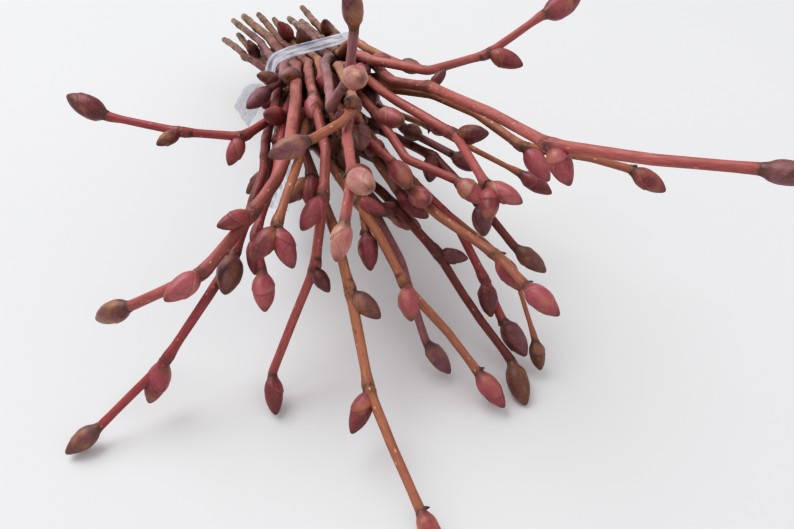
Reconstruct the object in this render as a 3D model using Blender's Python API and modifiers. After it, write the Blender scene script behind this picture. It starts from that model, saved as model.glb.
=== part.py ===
"""A tied bundle of budded winter twigs, lying down: 36 grown twigs and the strip of film that holds them.

Sizes are in millimetres and turned to metres as each mesh is made. +X is right, +Y points from the bud
tips back to the cut ends, +Z is up. The twigs rest on the table at Z = 0.
"""

import math

import bmesh
import bpy
import numpy as np
from mathutils import Matrix, Vector

MM = 0.001

# The bundle at the tie: the stems run side by side through the strip
TIE_CENTRE = Vector((2.0, 0.0, 26.0))
BUNDLE_TURN = math.radians(17)  # the bundle's bearing, away from -Y towards +X
BUNDLE_RISE = math.radians(15.5)  # the bundle climbs from its cut ends to its tips
TIE_ROLL = math.radians(8)  # the right side of the tie is the higher one
STEM_PITCH = 3.05  # from stem to stem in one row
ROW_PITCH = 2.75
ROWS = 6
PINNED_BACK = 6.0  # how far behind and before the tie the stems stay side by side
PINNED_FRONT = 5.0

# Stems and buds
BACK_RADIUS = 0.95  # of a stem at its cut end
STEM_RADIUS = 1.28  # in the tie
TIP_RADIUS = 0.86  # just below the end bud
BACK_LENGTH = 47.0  # from the tie to the shortest cut end
BACK_VARIATION = 15.0  # how much longer the longest one is
BACK_SPREAD = 1.4  # how far the rows open behind the tie
BACK_END_RISE = 11.7  # height of the middle of the cut ends
BACK_KINK = 1.5  # how far a stem is bent out of line halfway to its cut end
BUD_WIDTH = 0.23  # greatest radius of a bud, as a share of its length
BUD_RADII = ((0.0, 0.46), (0.12, 0.54), (0.3, 0.88), (0.5, 1.0), (0.72, 0.86), (0.9, 0.55), (1.0, 0.22))
SIDES = 6

# Spacing
SAMPLE = 1.2  # distance between the points of a stem's line
CORNER = 3.5  # length over which a bend is rounded
GAP = 0.55  # kept between neighbouring twigs
BUD_BALLS = (0.3, 0.5, 0.72, 0.9)  # where along a side bud its balls sit while the twigs settle
ROUNDS = 240  # rounds of pushing
LAST_ROUNDS = 60  # rounds at the end in which pushes aren't shared along the stems any more
PUSH = 1.3  # how much farther than needed a ball is pushed each round
LOOK_AHEAD = 3.0  # balls closer than this are watched
RENEW = 30  # rounds after which the list of close balls is made anew
FLATNESS = 0.12  # a ring is left out where the stem is this straight

# The film strip
FILM_WIDTH = 3.4
FILM_FLARE = 2.3  # how much farther out the strip's back edge stands than its front edge
FILM_THICK = 0.45
FILM_CLEARANCE = 0.4
FILM_STEPS = 40
KNOT_RADIUS = 2.4

BARK_COLOURS = {
    "coral": (0.42, 0.10, 0.075, 1.0),
    "red": (0.30, 0.05, 0.05, 1.0),
    "maroon": (0.16, 0.035, 0.035, 1.0),
    "tan": (0.36, 0.15, 0.06, 1.0),
    "mauve": (0.30, 0.11, 0.12, 1.0),
}
FILM_COLOUR = (0.78, 0.80, 0.84, 1.0)

# Each twig: bark, place in its row and row in the tie, thickness, then the points that its stem passes from
# the tie to its tip, the last two being the foot and the tip of the end bud, then its side buds. Each side
# bud has its place, which is the number of the point it grows from or, below zero, how far behind the tie it
# is, and then the bud's own tip.
TWIGS = (
    ("red", -3.5, 4, 0.95, ((-6, -22, 34), (-5, -37, 36), (-11, -45, 36), (-24, -46, 38), (-40, -43, 40),
     (-49, -40, 43)), ((2, (-14, -50, 32)), (3, (-28, -51, 38)))),
    ("coral", -2.0, 5, 1.20, ((-1, -22, 38), (1, -40, 41), (2, -62, 44), (0, -69, 41), (-4, -75, 38),
     (-13, -84, 31), (-29, -82, 21), (-37, -81, 17)),
     ((0, (-2, -30, 42)), (4, (-10, -80, 38)), (5, (-19, -90, 30)))),
    ("red", -3.0, 3, 0.95, ((-7, -30, 31), (-5, -55, 34), (-9, -77, 29), (-13, -83, 25), (-22, -90, 14),
     (-34, -98, 5), (-40, -102, 2)), ((2, (-9, -86, 28)), (4, (-26, -93, 6)))),
    ("coral", -1.0, 5, 1.0, ((0, -14, 37), (4, -39, 42), (8, -59, 41), (8, -68, 36), (6, -74, 24),
     (1, -80, 14), (-3, -86, 6), (-2, -93, 2)), ((1, (4, -47, 41)), (3, (4, -75, 34)), (4, (9, -79, 22)))),
    ("mauve", 1.0, 5, 1.0, ((8, -38, 45), (10, -59, 50), (14, -63, 58), (15, -61, 67), (15, -62, 75)),
     ((2, (17, -70, 62)),)),
    ("tan", 2.0, 5, 0.95, ((10, -4, 38), (15, -12, 39), (22, -20, 40), (27, -25, 41)), ()),
    ("coral", 3.0, 5, 1.0, ((13, -14, 40), (17, -27, 44), (29, -33, 45), (42, -28, 47), (55, -20, 53),
     (64, -15, 55)), ((3, (50, -31, 46)), (-24, (1, 22, 34)))),
    ("tan", 3.0, 3, 0.95, ((15, -18, 36), (20, -33, 41), (29, -39, 43), (38, -47, 43), (47, -57, 41),
     (61, -58, 39), (69, -59, 37), (76, -62, 34)), ((4, (52, -62, 36)), (0, (17, -25, 39)))),
    ("coral", 3.5, 4, 1.0, ((15, -16, 40), (21, -36, 45), (29, -45, 48), (39, -65, 53), (46, -84, 58),
     (59, -95, 62), (71, -102, 65), (77, -106, 66)),
     ((4, (49, -90, 54)), (2, (32, -43, 51)), (0, (20, -20, 43)))),
    ("coral", 2.5, 4, 1.0, ((14, -18, 38), (23, -40, 42), (34, -54, 42), (38, -75, 44), (44, -80, 44)),
     ((2, (40, -58, 45)), (3, (38, -83, 42)), (0, (16, -25, 41)))),
    ("maroon", 1.0, 1, 0.95, ((15, -25, 28), (30, -46, 32), (39, -61, 30), (46, -68, 24), (52, -72, 21)),
     ((2, (39, -69, 28)), (1, (29, -54, 31)), (0, (18, -31, 30)))),
    ("coral", 2.0, 3, 1.0, ((13, -22, 36), (18, -40, 39), (24, -55, 37), (34, -63, 37), (39, -69, 36)),
     ((1, (24, -46, 41)), (0, (10, -29, 38)))),
    ("coral", 0.5, 2, 0.9, ((8, -25, 32), (15, -46, 36), (22, -58, 37), (25, -66, 37)),
     ((0, (5, -30, 35)), (1, (12, -52, 39)))),
    ("mauve", 2.5, 2, 0.95, ((14, -17, 32), (24, -38, 34), (34, -47, 33), (39, -53, 33)),
     ((1, (27, -44, 36)), (0, (18, -24, 30)))),
    ("tan", 2.0, 1, 0.72, ((16, -12, 26), (30, -28, 29), (40, -37, 28), (50, -42, 25), (57, -46, 22)),
     ((1, (34, -33, 31)),)),
    ("tan", 1.5, 2, 0.95, ((12, -28, 31), (20, -54, 34), (25, -62, 33), (30, -68, 32), (41, -78, 30),
     (45, -86, 30), (50, -93, 29)), ((2, (27, -69, 36)), (4, (45, -83, 26)), (0, (14, -34, 34)))),
    ("tan", 1.5, 0, 0.55, ((12, -28, 23), (30, -50, 23), (46, -66, 18), (50, -78, 8), (51, -82, 3)), ()),
    ("red", 0.5, 0, 0.95, ((9, -30, 26), (24, -52, 31), (34, -62, 26), (40, -70, 17), (44, -75, 10),
     (49, -81, 6)), ((3, (41, -76, 12)), (1, (27, -57, 29)), (0, (6, -36, 29)))),
    ("maroon", -0.5, 0, 0.95, ((6, -30, 25), (22, -58, 28), (31, -67, 22), (36, -72, 16), (41, -77, 11),
     (46, -82, 6), (48, -90, 2)), ((2, (37, -68, 22)), (1, (18, -63, 30)), (0, (10, -36, 23)))),
    ("tan", -1.5, 2, 0.95, ((4, -35, 33), (15, -65, 34), (24, -78, 22), (32, -82, 14), (38, -86, 7),
     (43, -92, 3)), ((2, (25, -85, 20)), (1, (21, -68, 33)), (0, (6, -41, 36)))),
    ("mauve", -2.0, 1, 0.95, ((2, -32, 28), (17, -58, 28), (23, -69, 22), (26, -75, 13), (28, -79, 8),
     (33, -83, 3)), ((0, (-1, -37, 30)),)),
    ("tan", -2.5, 2, 1.0, ((0, -40, 32), (10, -72, 31), (13, -80, 23), (17, -97, 14), (21, -106, 10),
     (26, -116, 5), (29, -122, 3)), ((2, (19, -85, 21)), (3, (14, -103, 9)), (0, (-3, -46, 31)))),
    ("coral", 1.5, 4, 0.95, ((12, -35, 43), (13, -68, 51), (15, -88, 55), (14, -95, 51), (13, -100, 47)),
     ((2, (18, -95, 57)),)),
    ("tan", -0.5, 2, 0.9, ((9, -35, 36), (13, -58, 36), (16, -70, 30), (17, -76, 25)),
     ((1, (17, -63, 37)),)),
    ("tan", 0.0, 1, 0.9, ((8, -28, 30), (16, -44, 33), (22, -57, 30), (28, -63, 27)),
     ((1, (19, -50, 37)),)),
    ("mauve", -1.0, 1, 0.9, ((5, -28, 28), (12, -48, 28), (20, -57, 24), (27, -60, 23)),
     ((1, (9, -53, 30)),)),
    ("tan", -0.5, 4, 0.95, ((3, -38, 40), (3, -60, 42), (2, -72, 42), (0, -79, 38), (3, -85, 33)),
     ((3, (-4, -85, 35)), (0, (-1, -45, 41)))),
    ("red", -1.5, 4, 0.95, ((-3, -38, 36), (-3, -56, 34), (-4, -69, 34), (-5, -75, 32), (-3, -81, 29),
     (-2, -88, 25)), ((0, (-6, -44, 40)), (3, (-5, -80, 27)))),
    ("tan", 0.5, 4, 0.95, ((9, -28, 44), (14, -58, 50), (12, -69, 53), (7, -75, 53), (0, -78, 52)),
     ((-20, (-6, 18, 33)), (1, (13, -63, 54)))),
    ("mauve", -3.0, 5, 0.95, ((-6, -9, 36), (-5, -24, 39), (-7, -28, 39), (-12, -34, 37)),
     ((1, (-10, -27, 42)),)),
    ("tan", -2.5, 4, 0.95, ((-7, -20, 33), (-6, -38, 32), (-6, -48, 30), (-7, -56, 28)),
     ((1, (-4, -44, 35)), (-30, (-21, 24, 28)), (0, (-11, -26, 34)), (2, (-11, -53, 27)))),
    ("maroon", -2.0, 3, 0.95, ((-1, -30, 35), (3, -54, 38), (5, -61, 37), (5, -68, 34)),
     ((0, (0, -35, 40)), (2, (0, -66, 34)))),
    ("tan", 0.0, 3, 0.95, ((9, -24, 38), (13, -46, 41), (14, -50, 41), (14, -58, 40)),
     ((1, (9, -52, 43)), (0, (13, -30, 41)))),
    ("tan", -1.0, 3, 0.9, ((6, -24, 34), (11, -46, 36), (13, -56, 35)), ((1, (8, -51, 39)),)),
    ("tan", 0.0, 5, 0.9, ((3, -11, 38), (5, -21, 39), (9, -31, 41)), ((-28, (-13, 24, 32)),)),
    ("mauve", 1.0, 3, 0.9, ((12, -10, 34), (16, -20, 36), (17, -28, 37)), ()),
)


def lerp_along(distance, knots, values):
    """Rows of values read at each distance, between knots."""
    values = np.asarray(values, float)
    return np.stack([np.interp(distance, knots, values[:, axis]) for axis in range(values.shape[1])], axis=1)


def lengths_along(points):
    """The distance from the first point to each point."""
    steps = np.linalg.norm(np.diff(points, axis=0), axis=1)
    return np.concatenate([[0.0], np.cumsum(steps)])


def rounded_line(points):
    """Even samples of the line through the points, with each corner rounded."""
    knots = lengths_along(points)
    fine = 0.4
    count = int(knots[-1] / fine) + 1
    line = lerp_along(np.linspace(0, knots[-1], count), knots, points)
    reach = int(CORNER / fine / 2)
    kernel = np.hanning(2 * reach + 3)[1:-1]
    kernel = kernel / kernel.sum()
    before = 2 * line[0] - line[reach:0:-1]
    after = 2 * line[-1] - line[-2:-reach - 2:-1]
    padded = np.concatenate([before, line, after])
    smooth = np.stack([np.convolve(padded[:, axis], kernel, mode="valid") for axis in range(3)], axis=1)
    along = lengths_along(smooth)
    samples = int(round(along[-1] / SAMPLE)) + 1
    return lerp_along(np.linspace(0, along[-1], samples), along, smooth)


def bundle_axes():
    """Unit vectors at the tie: along the stems to the tips, across to the right, and up out of the rows."""
    level = Vector((math.sin(BUNDLE_TURN), -math.cos(BUNDLE_TURN), 0.0))
    along = level * math.cos(BUNDLE_RISE) + Vector((0, 0, math.sin(BUNDLE_RISE)))
    across = Vector((math.cos(BUNDLE_TURN), math.sin(BUNDLE_TURN), 0.0))
    up = along.cross(across)
    rolled_across = across * math.cos(TIE_ROLL) + up * math.sin(TIE_ROLL)
    rolled_up = up * math.cos(TIE_ROLL) - across * math.sin(TIE_ROLL)
    return np.array(along), np.array(rolled_across), np.array(rolled_up)


ALONG, ACROSS, UP = bundle_axes()


def slot_offset(column, row):
    """Where a stem runs in the tie, from the tie's middle."""
    return ACROSS * column * STEM_PITCH + UP * (row - (ROWS - 1) / 2) * ROW_PITCH


def cut_end(column, row, number):
    """The cut end of a stem behind the tie; the rows open out and no two are quite the same length."""
    length = BACK_LENGTH + BACK_VARIATION * (0.5 + 0.5 * math.sin(2.4 * number))
    opening = BACK_SPREAD + 0.25 * math.sin(1.7 * number + 1.0)
    level = np.array([-math.sin(BUNDLE_TURN), math.cos(BUNDLE_TURN), 0.0])
    end = level * length + slot_offset(column, row) * opening
    end[2] = max(BACK_END_RISE + (row - (ROWS - 1) / 2) * ROW_PITCH * BACK_SPREAD, STEM_RADIUS)
    return end


def twig_line(twig, number):
    """A twig's centre line from cut end to tip, and the places on it where its end bud starts and ends."""
    _, column, row, _, stem, _ = twig
    slot = np.array(TIE_CENTRE) + slot_offset(column, row)
    held = [slot - ALONG * PINNED_BACK, slot + ALONG * PINNED_FRONT]
    end = cut_end(column, row, number)
    kink = ACROSS * math.sin(3.1 * number) + UP * math.cos(4.7 * number)
    halfway = (end + held[0]) / 2 + kink * BACK_KINK
    points = np.array([end, halfway, *held, *stem], float)
    return rounded_line(points)


def bud_radius(share, length):
    """A bud's radius at a share of its length."""
    shares, radii = zip(*BUD_RADII)
    return np.interp(share, shares, radii) * BUD_WIDTH * length


def twig_radii(line, twig):
    """The radius at each sample: the stem tapers both ways from the tie, then swells into the end bud."""
    thickness, stem = twig[3], twig[4]
    along = lengths_along(line)
    bud_length = math.dist(stem[-2], stem[-1])
    bud_start = along[-1] - bud_length
    tied = along[int(np.argmin(abs((line - np.array(TIE_CENTRE)) @ ALONG)))]
    radii = np.interp(along, [0, tied, bud_start], [BACK_RADIUS, STEM_RADIUS, TIP_RADIUS]) * thickness
    share = (along - bud_start) / bud_length
    bud = bud_radius(np.clip(share, 0, 1), bud_length)
    return np.where(share > 0, bud, radii)


def bud_root(line, stem, place):
    """The sample that a side bud grows from: at a point of the stem, or some way behind the tie."""
    if place >= 0:
        return int(np.argmin(np.linalg.norm(line - np.array(stem[place]), axis=1)))
    return int(np.argmin(abs((line - np.array(TIE_CENTRE)) @ ALONG - place)))


def film_tails():
    """Centre lines of the strip's two loose ends, which leave the knot at the left of the tie."""
    knot = knot_centre()
    short = knot + np.array([(0, 0, 0), (-3, 3, 3), (-7, 5, 0), (-12, 6, -8)])
    long = knot + np.array([(0, 0, 0), (-1, -7, -4), (1, -18, -7), (4, -29, -8), (3, -36, -9)])
    return short, long


def knot_centre():
    """The knot sits against the strip where the outermost stem on the left pushes it out."""
    outermost = STEM_PITCH * 3 + STEM_RADIUS + FILM_CLEARANCE + FILM_THICK
    return np.array(TIE_CENTRE) - ACROSS * (outermost + KNOT_RADIUS * 0.55) - UP * ROW_PITCH / 2


def resting_shift(lines, radii):
    """The move that puts the middle of the settled twigs' bounding box over the origin."""
    low = np.min([np.min(line - size[:, None], axis=0) for line, size in zip(lines, radii)], axis=0)
    high = np.max([np.max(line + size[:, None], axis=0) for line, size in zip(lines, radii)], axis=0)
    return np.array([-(low[0] + high[0]) / 2, -(low[1] + high[1]) / 2, -low[2]])


def settle(lines, radii, buds):
    """Moves the lines apart until no two twigs are closer than GAP and none is below the table.

    Every sample is a ball. Balls of two twigs that are too close push each other away, the stems held in the
    tie stay put, and each push is shared along its stem so that the stem bends and doesn't kink.
    """
    starts = np.cumsum([0] + [len(line) for line in lines])
    points = np.concatenate(lines)
    home = points.copy()
    owner = np.concatenate([np.full(len(line), i) for i, line in enumerate(lines)])
    depth = (points - np.array(TIE_CENTRE)) @ ALONG
    held = (depth > -PINNED_BACK) & (depth < PINNED_FRONT)
    before = np.arange(len(points)) - 1
    before[starts[:-1]] = starts[:-1]
    after = np.arange(len(points)) + 1
    after[starts[1:] - 1] = starts[1:] - 1

    anchor = [np.arange(len(points))]
    offset = [np.zeros((len(points), 3))]
    size = [np.concatenate(radii)]
    for twig, root, tip in buds:
        index = starts[twig] + root
        arm = np.asarray(tip, float) - points[index]
        for share in BUD_BALLS:
            anchor.append(np.array([index]))
            offset.append((arm * share)[None])
            size.append(np.array([bud_radius(share, np.linalg.norm(arm))]))
    film = np.concatenate([rounded_line(tail) for tail in film_tails()])
    loose = len(points)
    points = np.concatenate([points, film])
    home = np.concatenate([home, film])
    owner = np.concatenate([owner, np.full(len(film), -1)])
    held = np.concatenate([held, np.ones(len(film), bool)])
    anchor.append(np.arange(loose, len(points)))
    offset.append(np.zeros((len(film), 3)))
    size.append(np.full(len(film), FILM_WIDTH * 0.75))
    anchor = np.concatenate(anchor)
    offset = np.concatenate(offset)
    size = np.concatenate(size)

    for turn in range(ROUNDS):
        balls = points[anchor] + offset
        if turn % RENEW == 0:
            first, second = close_pairs(balls, size, owner[anchor], held[anchor])
        apart = balls[first] - balls[second]
        distance = np.linalg.norm(apart, axis=1)
        short = size[first] + size[second] + GAP - distance
        touching = short > 0
        push = apart[touching] * (short[touching] / np.maximum(distance[touching], 1e-6))[:, None] * 0.5
        total = np.zeros_like(points)
        count = np.zeros(len(points))
        np.add.at(total, anchor[first[touching]], push)
        np.add.at(total, anchor[second[touching]], -push)
        np.add.at(count, anchor[first[touching]], 1)
        np.add.at(count, anchor[second[touching]], 1)
        sunk = np.maximum(size - balls[:, 2], 0)
        lift = np.zeros(len(points))
        np.maximum.at(lift, anchor, sunk)
        total /= np.maximum(count, 1)[:, None]
        total[:, 2] += lift
        total[held] = 0
        points += total * PUSH
        if turn < ROUNDS - LAST_ROUNDS:
            moved = points - home
            for _ in range(3):
                mean = (moved[before] + moved[after]) / 2
                moved[:loose] += 0.5 * (mean - moved[:loose])
                moved[held] = 0
            points = home + moved
    return [points[start:end] for start, end in zip(starts[:-1], starts[1:])]


def close_pairs(balls, size, owner, held):
    """Pairs of balls of different twigs that are near enough to meet while the twigs settle."""
    firsts, seconds = [], []
    block = 400
    for start in range(0, len(balls), block):
        rows = np.arange(start, min(start + block, len(balls)))
        distance = np.linalg.norm(balls[rows, None] - balls[None], axis=2)
        near = distance < size[rows, None] + size[None] + LOOK_AHEAD
        near &= owner[rows, None] != owner[None]
        near &= ~(held[rows, None] & held[None])
        near &= rows[:, None] < np.arange(len(balls))[None]
        first, second = np.nonzero(near)
        firsts.append(rows[first])
        seconds.append(second)
    return np.concatenate(firsts), np.concatenate(seconds)


def needed_rings(line, radii, shares):
    """The samples that a plain tube needs: both ends, the rings of the bud, and the bends between them."""
    keep = {0, len(line) - 1, *shares}
    stack = list(zip(sorted(keep)[:-1], sorted(keep)[1:]))
    while stack:
        start, end = stack.pop()
        if end - start < 2:
            continue
        middle = np.arange(start + 1, end)
        share = (middle - start) / (end - start)
        chord = line[start] + (line[end] - line[start]) * share[:, None]
        off = np.linalg.norm(line[middle] - chord, axis=1)
        worst = int(middle[np.argmax(off)])
        if off.max() > FLATNESS:
            keep.add(worst)
            stack += [(start, worst), (worst, end)]
    order = sorted(keep)
    return line[order], radii[order]


def bark(name):
    material = bpy.data.materials.get(name) or bpy.data.materials.new(name)
    material.use_nodes = True
    shader = material.node_tree.nodes["Principled BSDF"]
    shader.inputs["Base Color"].default_value = BARK_COLOURS.get(name, FILM_COLOUR)
    shader.inputs["Roughness"].default_value = 0.5
    return material


def new_object(name, mesh, collection, material):
    mesh.materials.append(bark(material))
    mesh.polygons.foreach_set("use_smooth", [True] * len(mesh.polygons))
    made = bpy.data.objects.new(name, mesh)
    collection.objects.link(made)
    return made


def tube(name, points, radii, collection, material):
    """A closed mesh tube: a bevelled curve with filled caps, its thickness set point by point."""
    curve = bpy.data.curves.new(name, "CURVE")
    curve.dimensions = "3D"
    curve.bevel_depth = MM
    curve.bevel_resolution = (SIDES - 4) // 2
    curve.use_fill_caps = True
    spline = curve.splines.new("POLY")
    spline.points.add(len(points) - 1)
    for place, point, radius in zip(spline.points, points, radii):
        place.co = (*(np.asarray(point) * MM), 1.0)
        place.radius = radius
    drawn = bpy.data.objects.new(name + "_line", curve)
    collection.objects.link(drawn)
    bpy.context.view_layer.update()
    mesh = bpy.data.meshes.new_from_object(drawn.evaluated_get(bpy.context.evaluated_depsgraph_get()))
    bpy.data.objects.remove(drawn)
    weld_caps(mesh)
    return new_object(name, mesh, collection, material)


def weld_caps(mesh):
    cage = bmesh.new()
    cage.from_mesh(mesh)
    bmesh.ops.remove_doubles(cage, verts=cage.verts, dist=1e-6)
    bmesh.ops.recalc_face_normals(cage, faces=cage.faces)
    cage.to_mesh(mesh)
    cage.free()


def join_to(base, added):
    """Joins another closed mesh to the base, which makes them one solid."""
    added.hide_render = True
    added.display_type = "WIRE"
    union = base.modifiers.new(added.name, "BOOLEAN")
    union.operation = "UNION"
    union.object = added


def build_twig(number, twig, line, thickness, buds, collection, cutters):
    """One twig: a stem that ends in a bud, with its side buds joined on."""
    name = f"twig_{number + 1:02d}"
    along = lengths_along(line)
    bud_length = math.dist(twig[4][-2], twig[4][-1])
    bud_start = along[-1] - bud_length
    rings = [int(np.argmin(abs(along - bud_start - share * bud_length))) for share, _ in BUD_RADII]
    stem = tube(name, *needed_rings(line, thickness, rings), collection, twig[0])
    for index, (root, arm) in enumerate(buds):
        shares = np.array([share for share, _ in BUD_RADII])
        foot = line[root]
        points = foot + shares[:, None] * arm
        radii = bud_radius(shares, np.linalg.norm(arm))
        side = tube(f"{name}_bud_{index + 1}", points, radii, cutters, twig[0])
        join_to(stem, side)
    return stem


def film_outline():
    """The loop of a strip pulled tight around the stems, and the way out from the bundle at each point.

    In each direction the strip lies against the stem that reaches farthest that way.
    """
    stems = np.array([slot_offset(twig[1], twig[2]) for twig in TWIGS])
    radii = np.array([STEM_RADIUS * twig[3] for twig in TWIGS])
    turn = np.linspace(0, 2 * math.pi, FILM_STEPS, endpoint=False)[:, None]
    way = ACROSS * np.cos(turn) + UP * np.sin(turn)
    outer = np.argmax(way @ stems.T + radii, axis=1)
    return np.array(TIE_CENTRE) + stems[outer] + way * (radii[outer, None] + FILM_CLEARANCE), way


def ribbon(name, lower, upper, closed, collection):
    """A strip between two edge lines, made solid by Solidify."""
    count = len(lower)
    mesh = bpy.data.meshes.new(name)
    spans = count if closed else count - 1
    faces = [(i, (i + 1) % count, count + (i + 1) % count, count + i) for i in range(spans)]
    mesh.from_pydata([tuple(point * MM) for point in [*lower, *upper]], [], faces)
    strip = new_object(name, mesh, collection, "film")
    shell = strip.modifiers.new("thickness", "SOLIDIFY")
    shell.thickness = FILM_THICK * MM
    shell.offset = 1.0 if closed else 0.0
    return strip


def build_film(collection, cutters):
    """The strip around the bundle, its knot and its two loose ends, as the one piece that they are."""
    loop, way = film_outline()
    edge = ALONG * FILM_WIDTH / 2
    band = ribbon("film_tie", loop - edge + way * FILM_FLARE, loop + edge, True, collection)
    knot = knot_centre()
    bpy.ops.mesh.primitive_ico_sphere_add(subdivisions=2, radius=KNOT_RADIUS * MM, location=knot * MM)
    lump = bpy.context.object
    lump.name = "film_knot"
    for holder in list(lump.users_collection):
        holder.objects.unlink(lump)
    cutters.objects.link(lump)
    join_to(band, lump)
    short, long = film_tails()
    slope = np.array([0.8, 0.1, -0.6])
    for name, centre, sides in (("film_end_short", short, slope), ("film_end_long", long, ACROSS)):
        line = rounded_line(centre)[::3]
        share = np.linspace(0, 1, len(line))
        half = FILM_WIDTH * (0.4 + 0.5 * np.sin(math.pi * share * 0.8))
        tail = ribbon(name, line - half[:, None] * sides, line + half[:, None] * sides, False, cutters)
        join_to(band, tail)
    return band


def clear_scene():
    for old in list(bpy.data.objects):
        bpy.data.objects.remove(old)


def main():
    clear_scene()
    bundle = bpy.data.collections.new("budded_twig_bundle")
    cutters = bpy.data.collections.new("joined_pieces")
    bpy.context.scene.collection.children.link(bundle)
    bpy.context.scene.collection.children.link(cutters)

    lines = [twig_line(twig, number) for number, twig in enumerate(TWIGS)]
    radii = [twig_radii(line, twig) for line, twig in zip(lines, TWIGS)]
    arms = []
    side_buds = []
    for number, (twig, line) in enumerate(zip(TWIGS, lines)):
        rooted = []
        for place, tip in twig[5]:
            root = bud_root(line, twig[4], place)
            rooted.append((root, np.asarray(tip, float) - line[root]))
            side_buds.append((number, root, tip))
        arms.append(rooted)
    lines = settle(lines, radii, side_buds)

    for number, twig in enumerate(TWIGS):
        build_twig(number, twig, lines[number], radii[number], arms[number], bundle, cutters)
    build_film(bundle, cutters)
    shift = Matrix.Translation(resting_shift(lines, radii) * MM)
    for piece in [*bundle.objects, *cutters.objects]:
        piece.matrix_world = shift @ piece.matrix_world


main()
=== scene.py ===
# %% [markdown]
# # A tied bundle of budded twigs
#
# Thirty-six short winter twigs lie on a table, cut from a tree that is still asleep. Each one is a thin
# stem with red or brown bark, bent a little at every node, with a plump bud at each bend and one at its end.
# A strip of pale film holds them together near the cut ends.
#
# The rough solids come ready made as a frame. This lesson keeps their places and gives each twig its real
# skin: bark with pale pores, leaf scars, bud scales that overlap, and pale cut wood.

import math

import bpy
import numpy as np
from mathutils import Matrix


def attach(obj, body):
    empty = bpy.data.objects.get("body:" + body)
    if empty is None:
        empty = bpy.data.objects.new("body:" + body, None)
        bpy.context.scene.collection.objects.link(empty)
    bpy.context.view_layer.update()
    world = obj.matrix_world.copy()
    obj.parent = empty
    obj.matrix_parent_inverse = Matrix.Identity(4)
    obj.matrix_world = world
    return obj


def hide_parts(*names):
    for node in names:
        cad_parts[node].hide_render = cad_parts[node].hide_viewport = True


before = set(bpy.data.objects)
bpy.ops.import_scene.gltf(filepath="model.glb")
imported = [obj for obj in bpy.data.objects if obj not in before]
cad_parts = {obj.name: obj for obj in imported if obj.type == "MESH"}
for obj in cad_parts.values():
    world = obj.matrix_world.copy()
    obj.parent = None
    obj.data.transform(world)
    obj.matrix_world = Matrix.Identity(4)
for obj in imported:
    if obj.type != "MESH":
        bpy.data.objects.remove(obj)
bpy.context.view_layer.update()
MM = 0.001
print("solids in the frame:", len(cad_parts))

# %% [markdown]
# ## Where every twig runs
#
# A real bundle is simple to describe: the stems lie side by side in the tie and fan out on both sides of it.
# So the twigs are a list of points, one row for each twig, in millimetres. The points could be drawn as
# curves by eye, but a list is easy to read and to change, and it is the same list that the solids were made
# from.

# %% Sizes of the bundle, in millimetres
# The bundle at the tie: the stems run side by side through the strip
TIE_CENTRE = np.array((2.0, 0.0, 26.0))
BUNDLE_TURN = math.radians(17)  # the bundle's bearing, away from -Y towards +X
BUNDLE_RISE = math.radians(15.5)  # the bundle climbs from its cut ends to its tips
TIE_ROLL = math.radians(8)  # the right side of the tie is the higher one
STEM_PITCH = 3.05  # from stem to stem in one row
ROW_PITCH = 2.75
ROWS = 6
PINNED_BACK = 6.0  # how far behind and before the tie the stems stay side by side
PINNED_FRONT = 5.0

# Stems and buds
BACK_RADIUS = 0.95  # of a stem at its cut end
STEM_RADIUS = 1.28  # in the tie
TIP_RADIUS = 0.86  # just below the end bud
BACK_LENGTH = 47.0  # from the tie to the shortest cut end
BACK_VARIATION = 15.0  # how much longer the longest one is
BACK_SPREAD = 1.4  # how far the rows open behind the tie
BACK_END_RISE = 11.7  # height of the middle of the cut ends
BACK_KINK = 1.5  # how far a stem is bent out of line halfway to its cut end
BUD_WIDTH = 0.23  # greatest radius of a bud, as a share of its length
# A bud's outline in the solids: a share of its length, and its radius there as a share of the greatest
BUD_RADII = ((0.0, 0.46), (0.12, 0.54), (0.3, 0.88), (0.5, 1.0), (0.72, 0.86), (0.9, 0.55), (1.0, 0.22))

# Spacing
SAMPLE = 1.2  # distance between the points of a stem's line
FINE = 0.4  # the same while the line's corners are being rounded
CORNER = 3.5  # length over which a bend is rounded
GAP = 0.55  # kept between neighbouring twigs
BUD_BALLS = (0.3, 0.5, 0.72, 0.9)  # where along a side bud its balls sit while the twigs settle
ROUNDS = 240  # rounds of pushing
LAST_ROUNDS = 60  # rounds at the end in which pushes aren't shared along the stems any more
PUSH = 1.3  # how much farther than needed a ball is pushed each round
LOOK_AHEAD = 3.0  # balls closer than this are watched
RENEW = 30  # rounds after which the list of close balls is made anew
PASSES = 3  # times that a push is passed on along its stem each round
BLOCK = 400  # balls compared with all others at a time, to save memory

# The film strip
FILM_WIDTH = 3.4
FILM_FLARE = 2.3  # how much farther out the strip's back edge stands than its front edge
FILM_THICK = 0.45  # of the solid
FILM_CLEARANCE = 0.4  # from the outermost stems to the strip
KNOT_RADIUS = 2.4
WIDEST = 3  # stems from the middle of the tie to its widest side, where the knot sits

print("stems in the tie:", ROWS, "rows,", STEM_PITCH, "mm apart")

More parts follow.
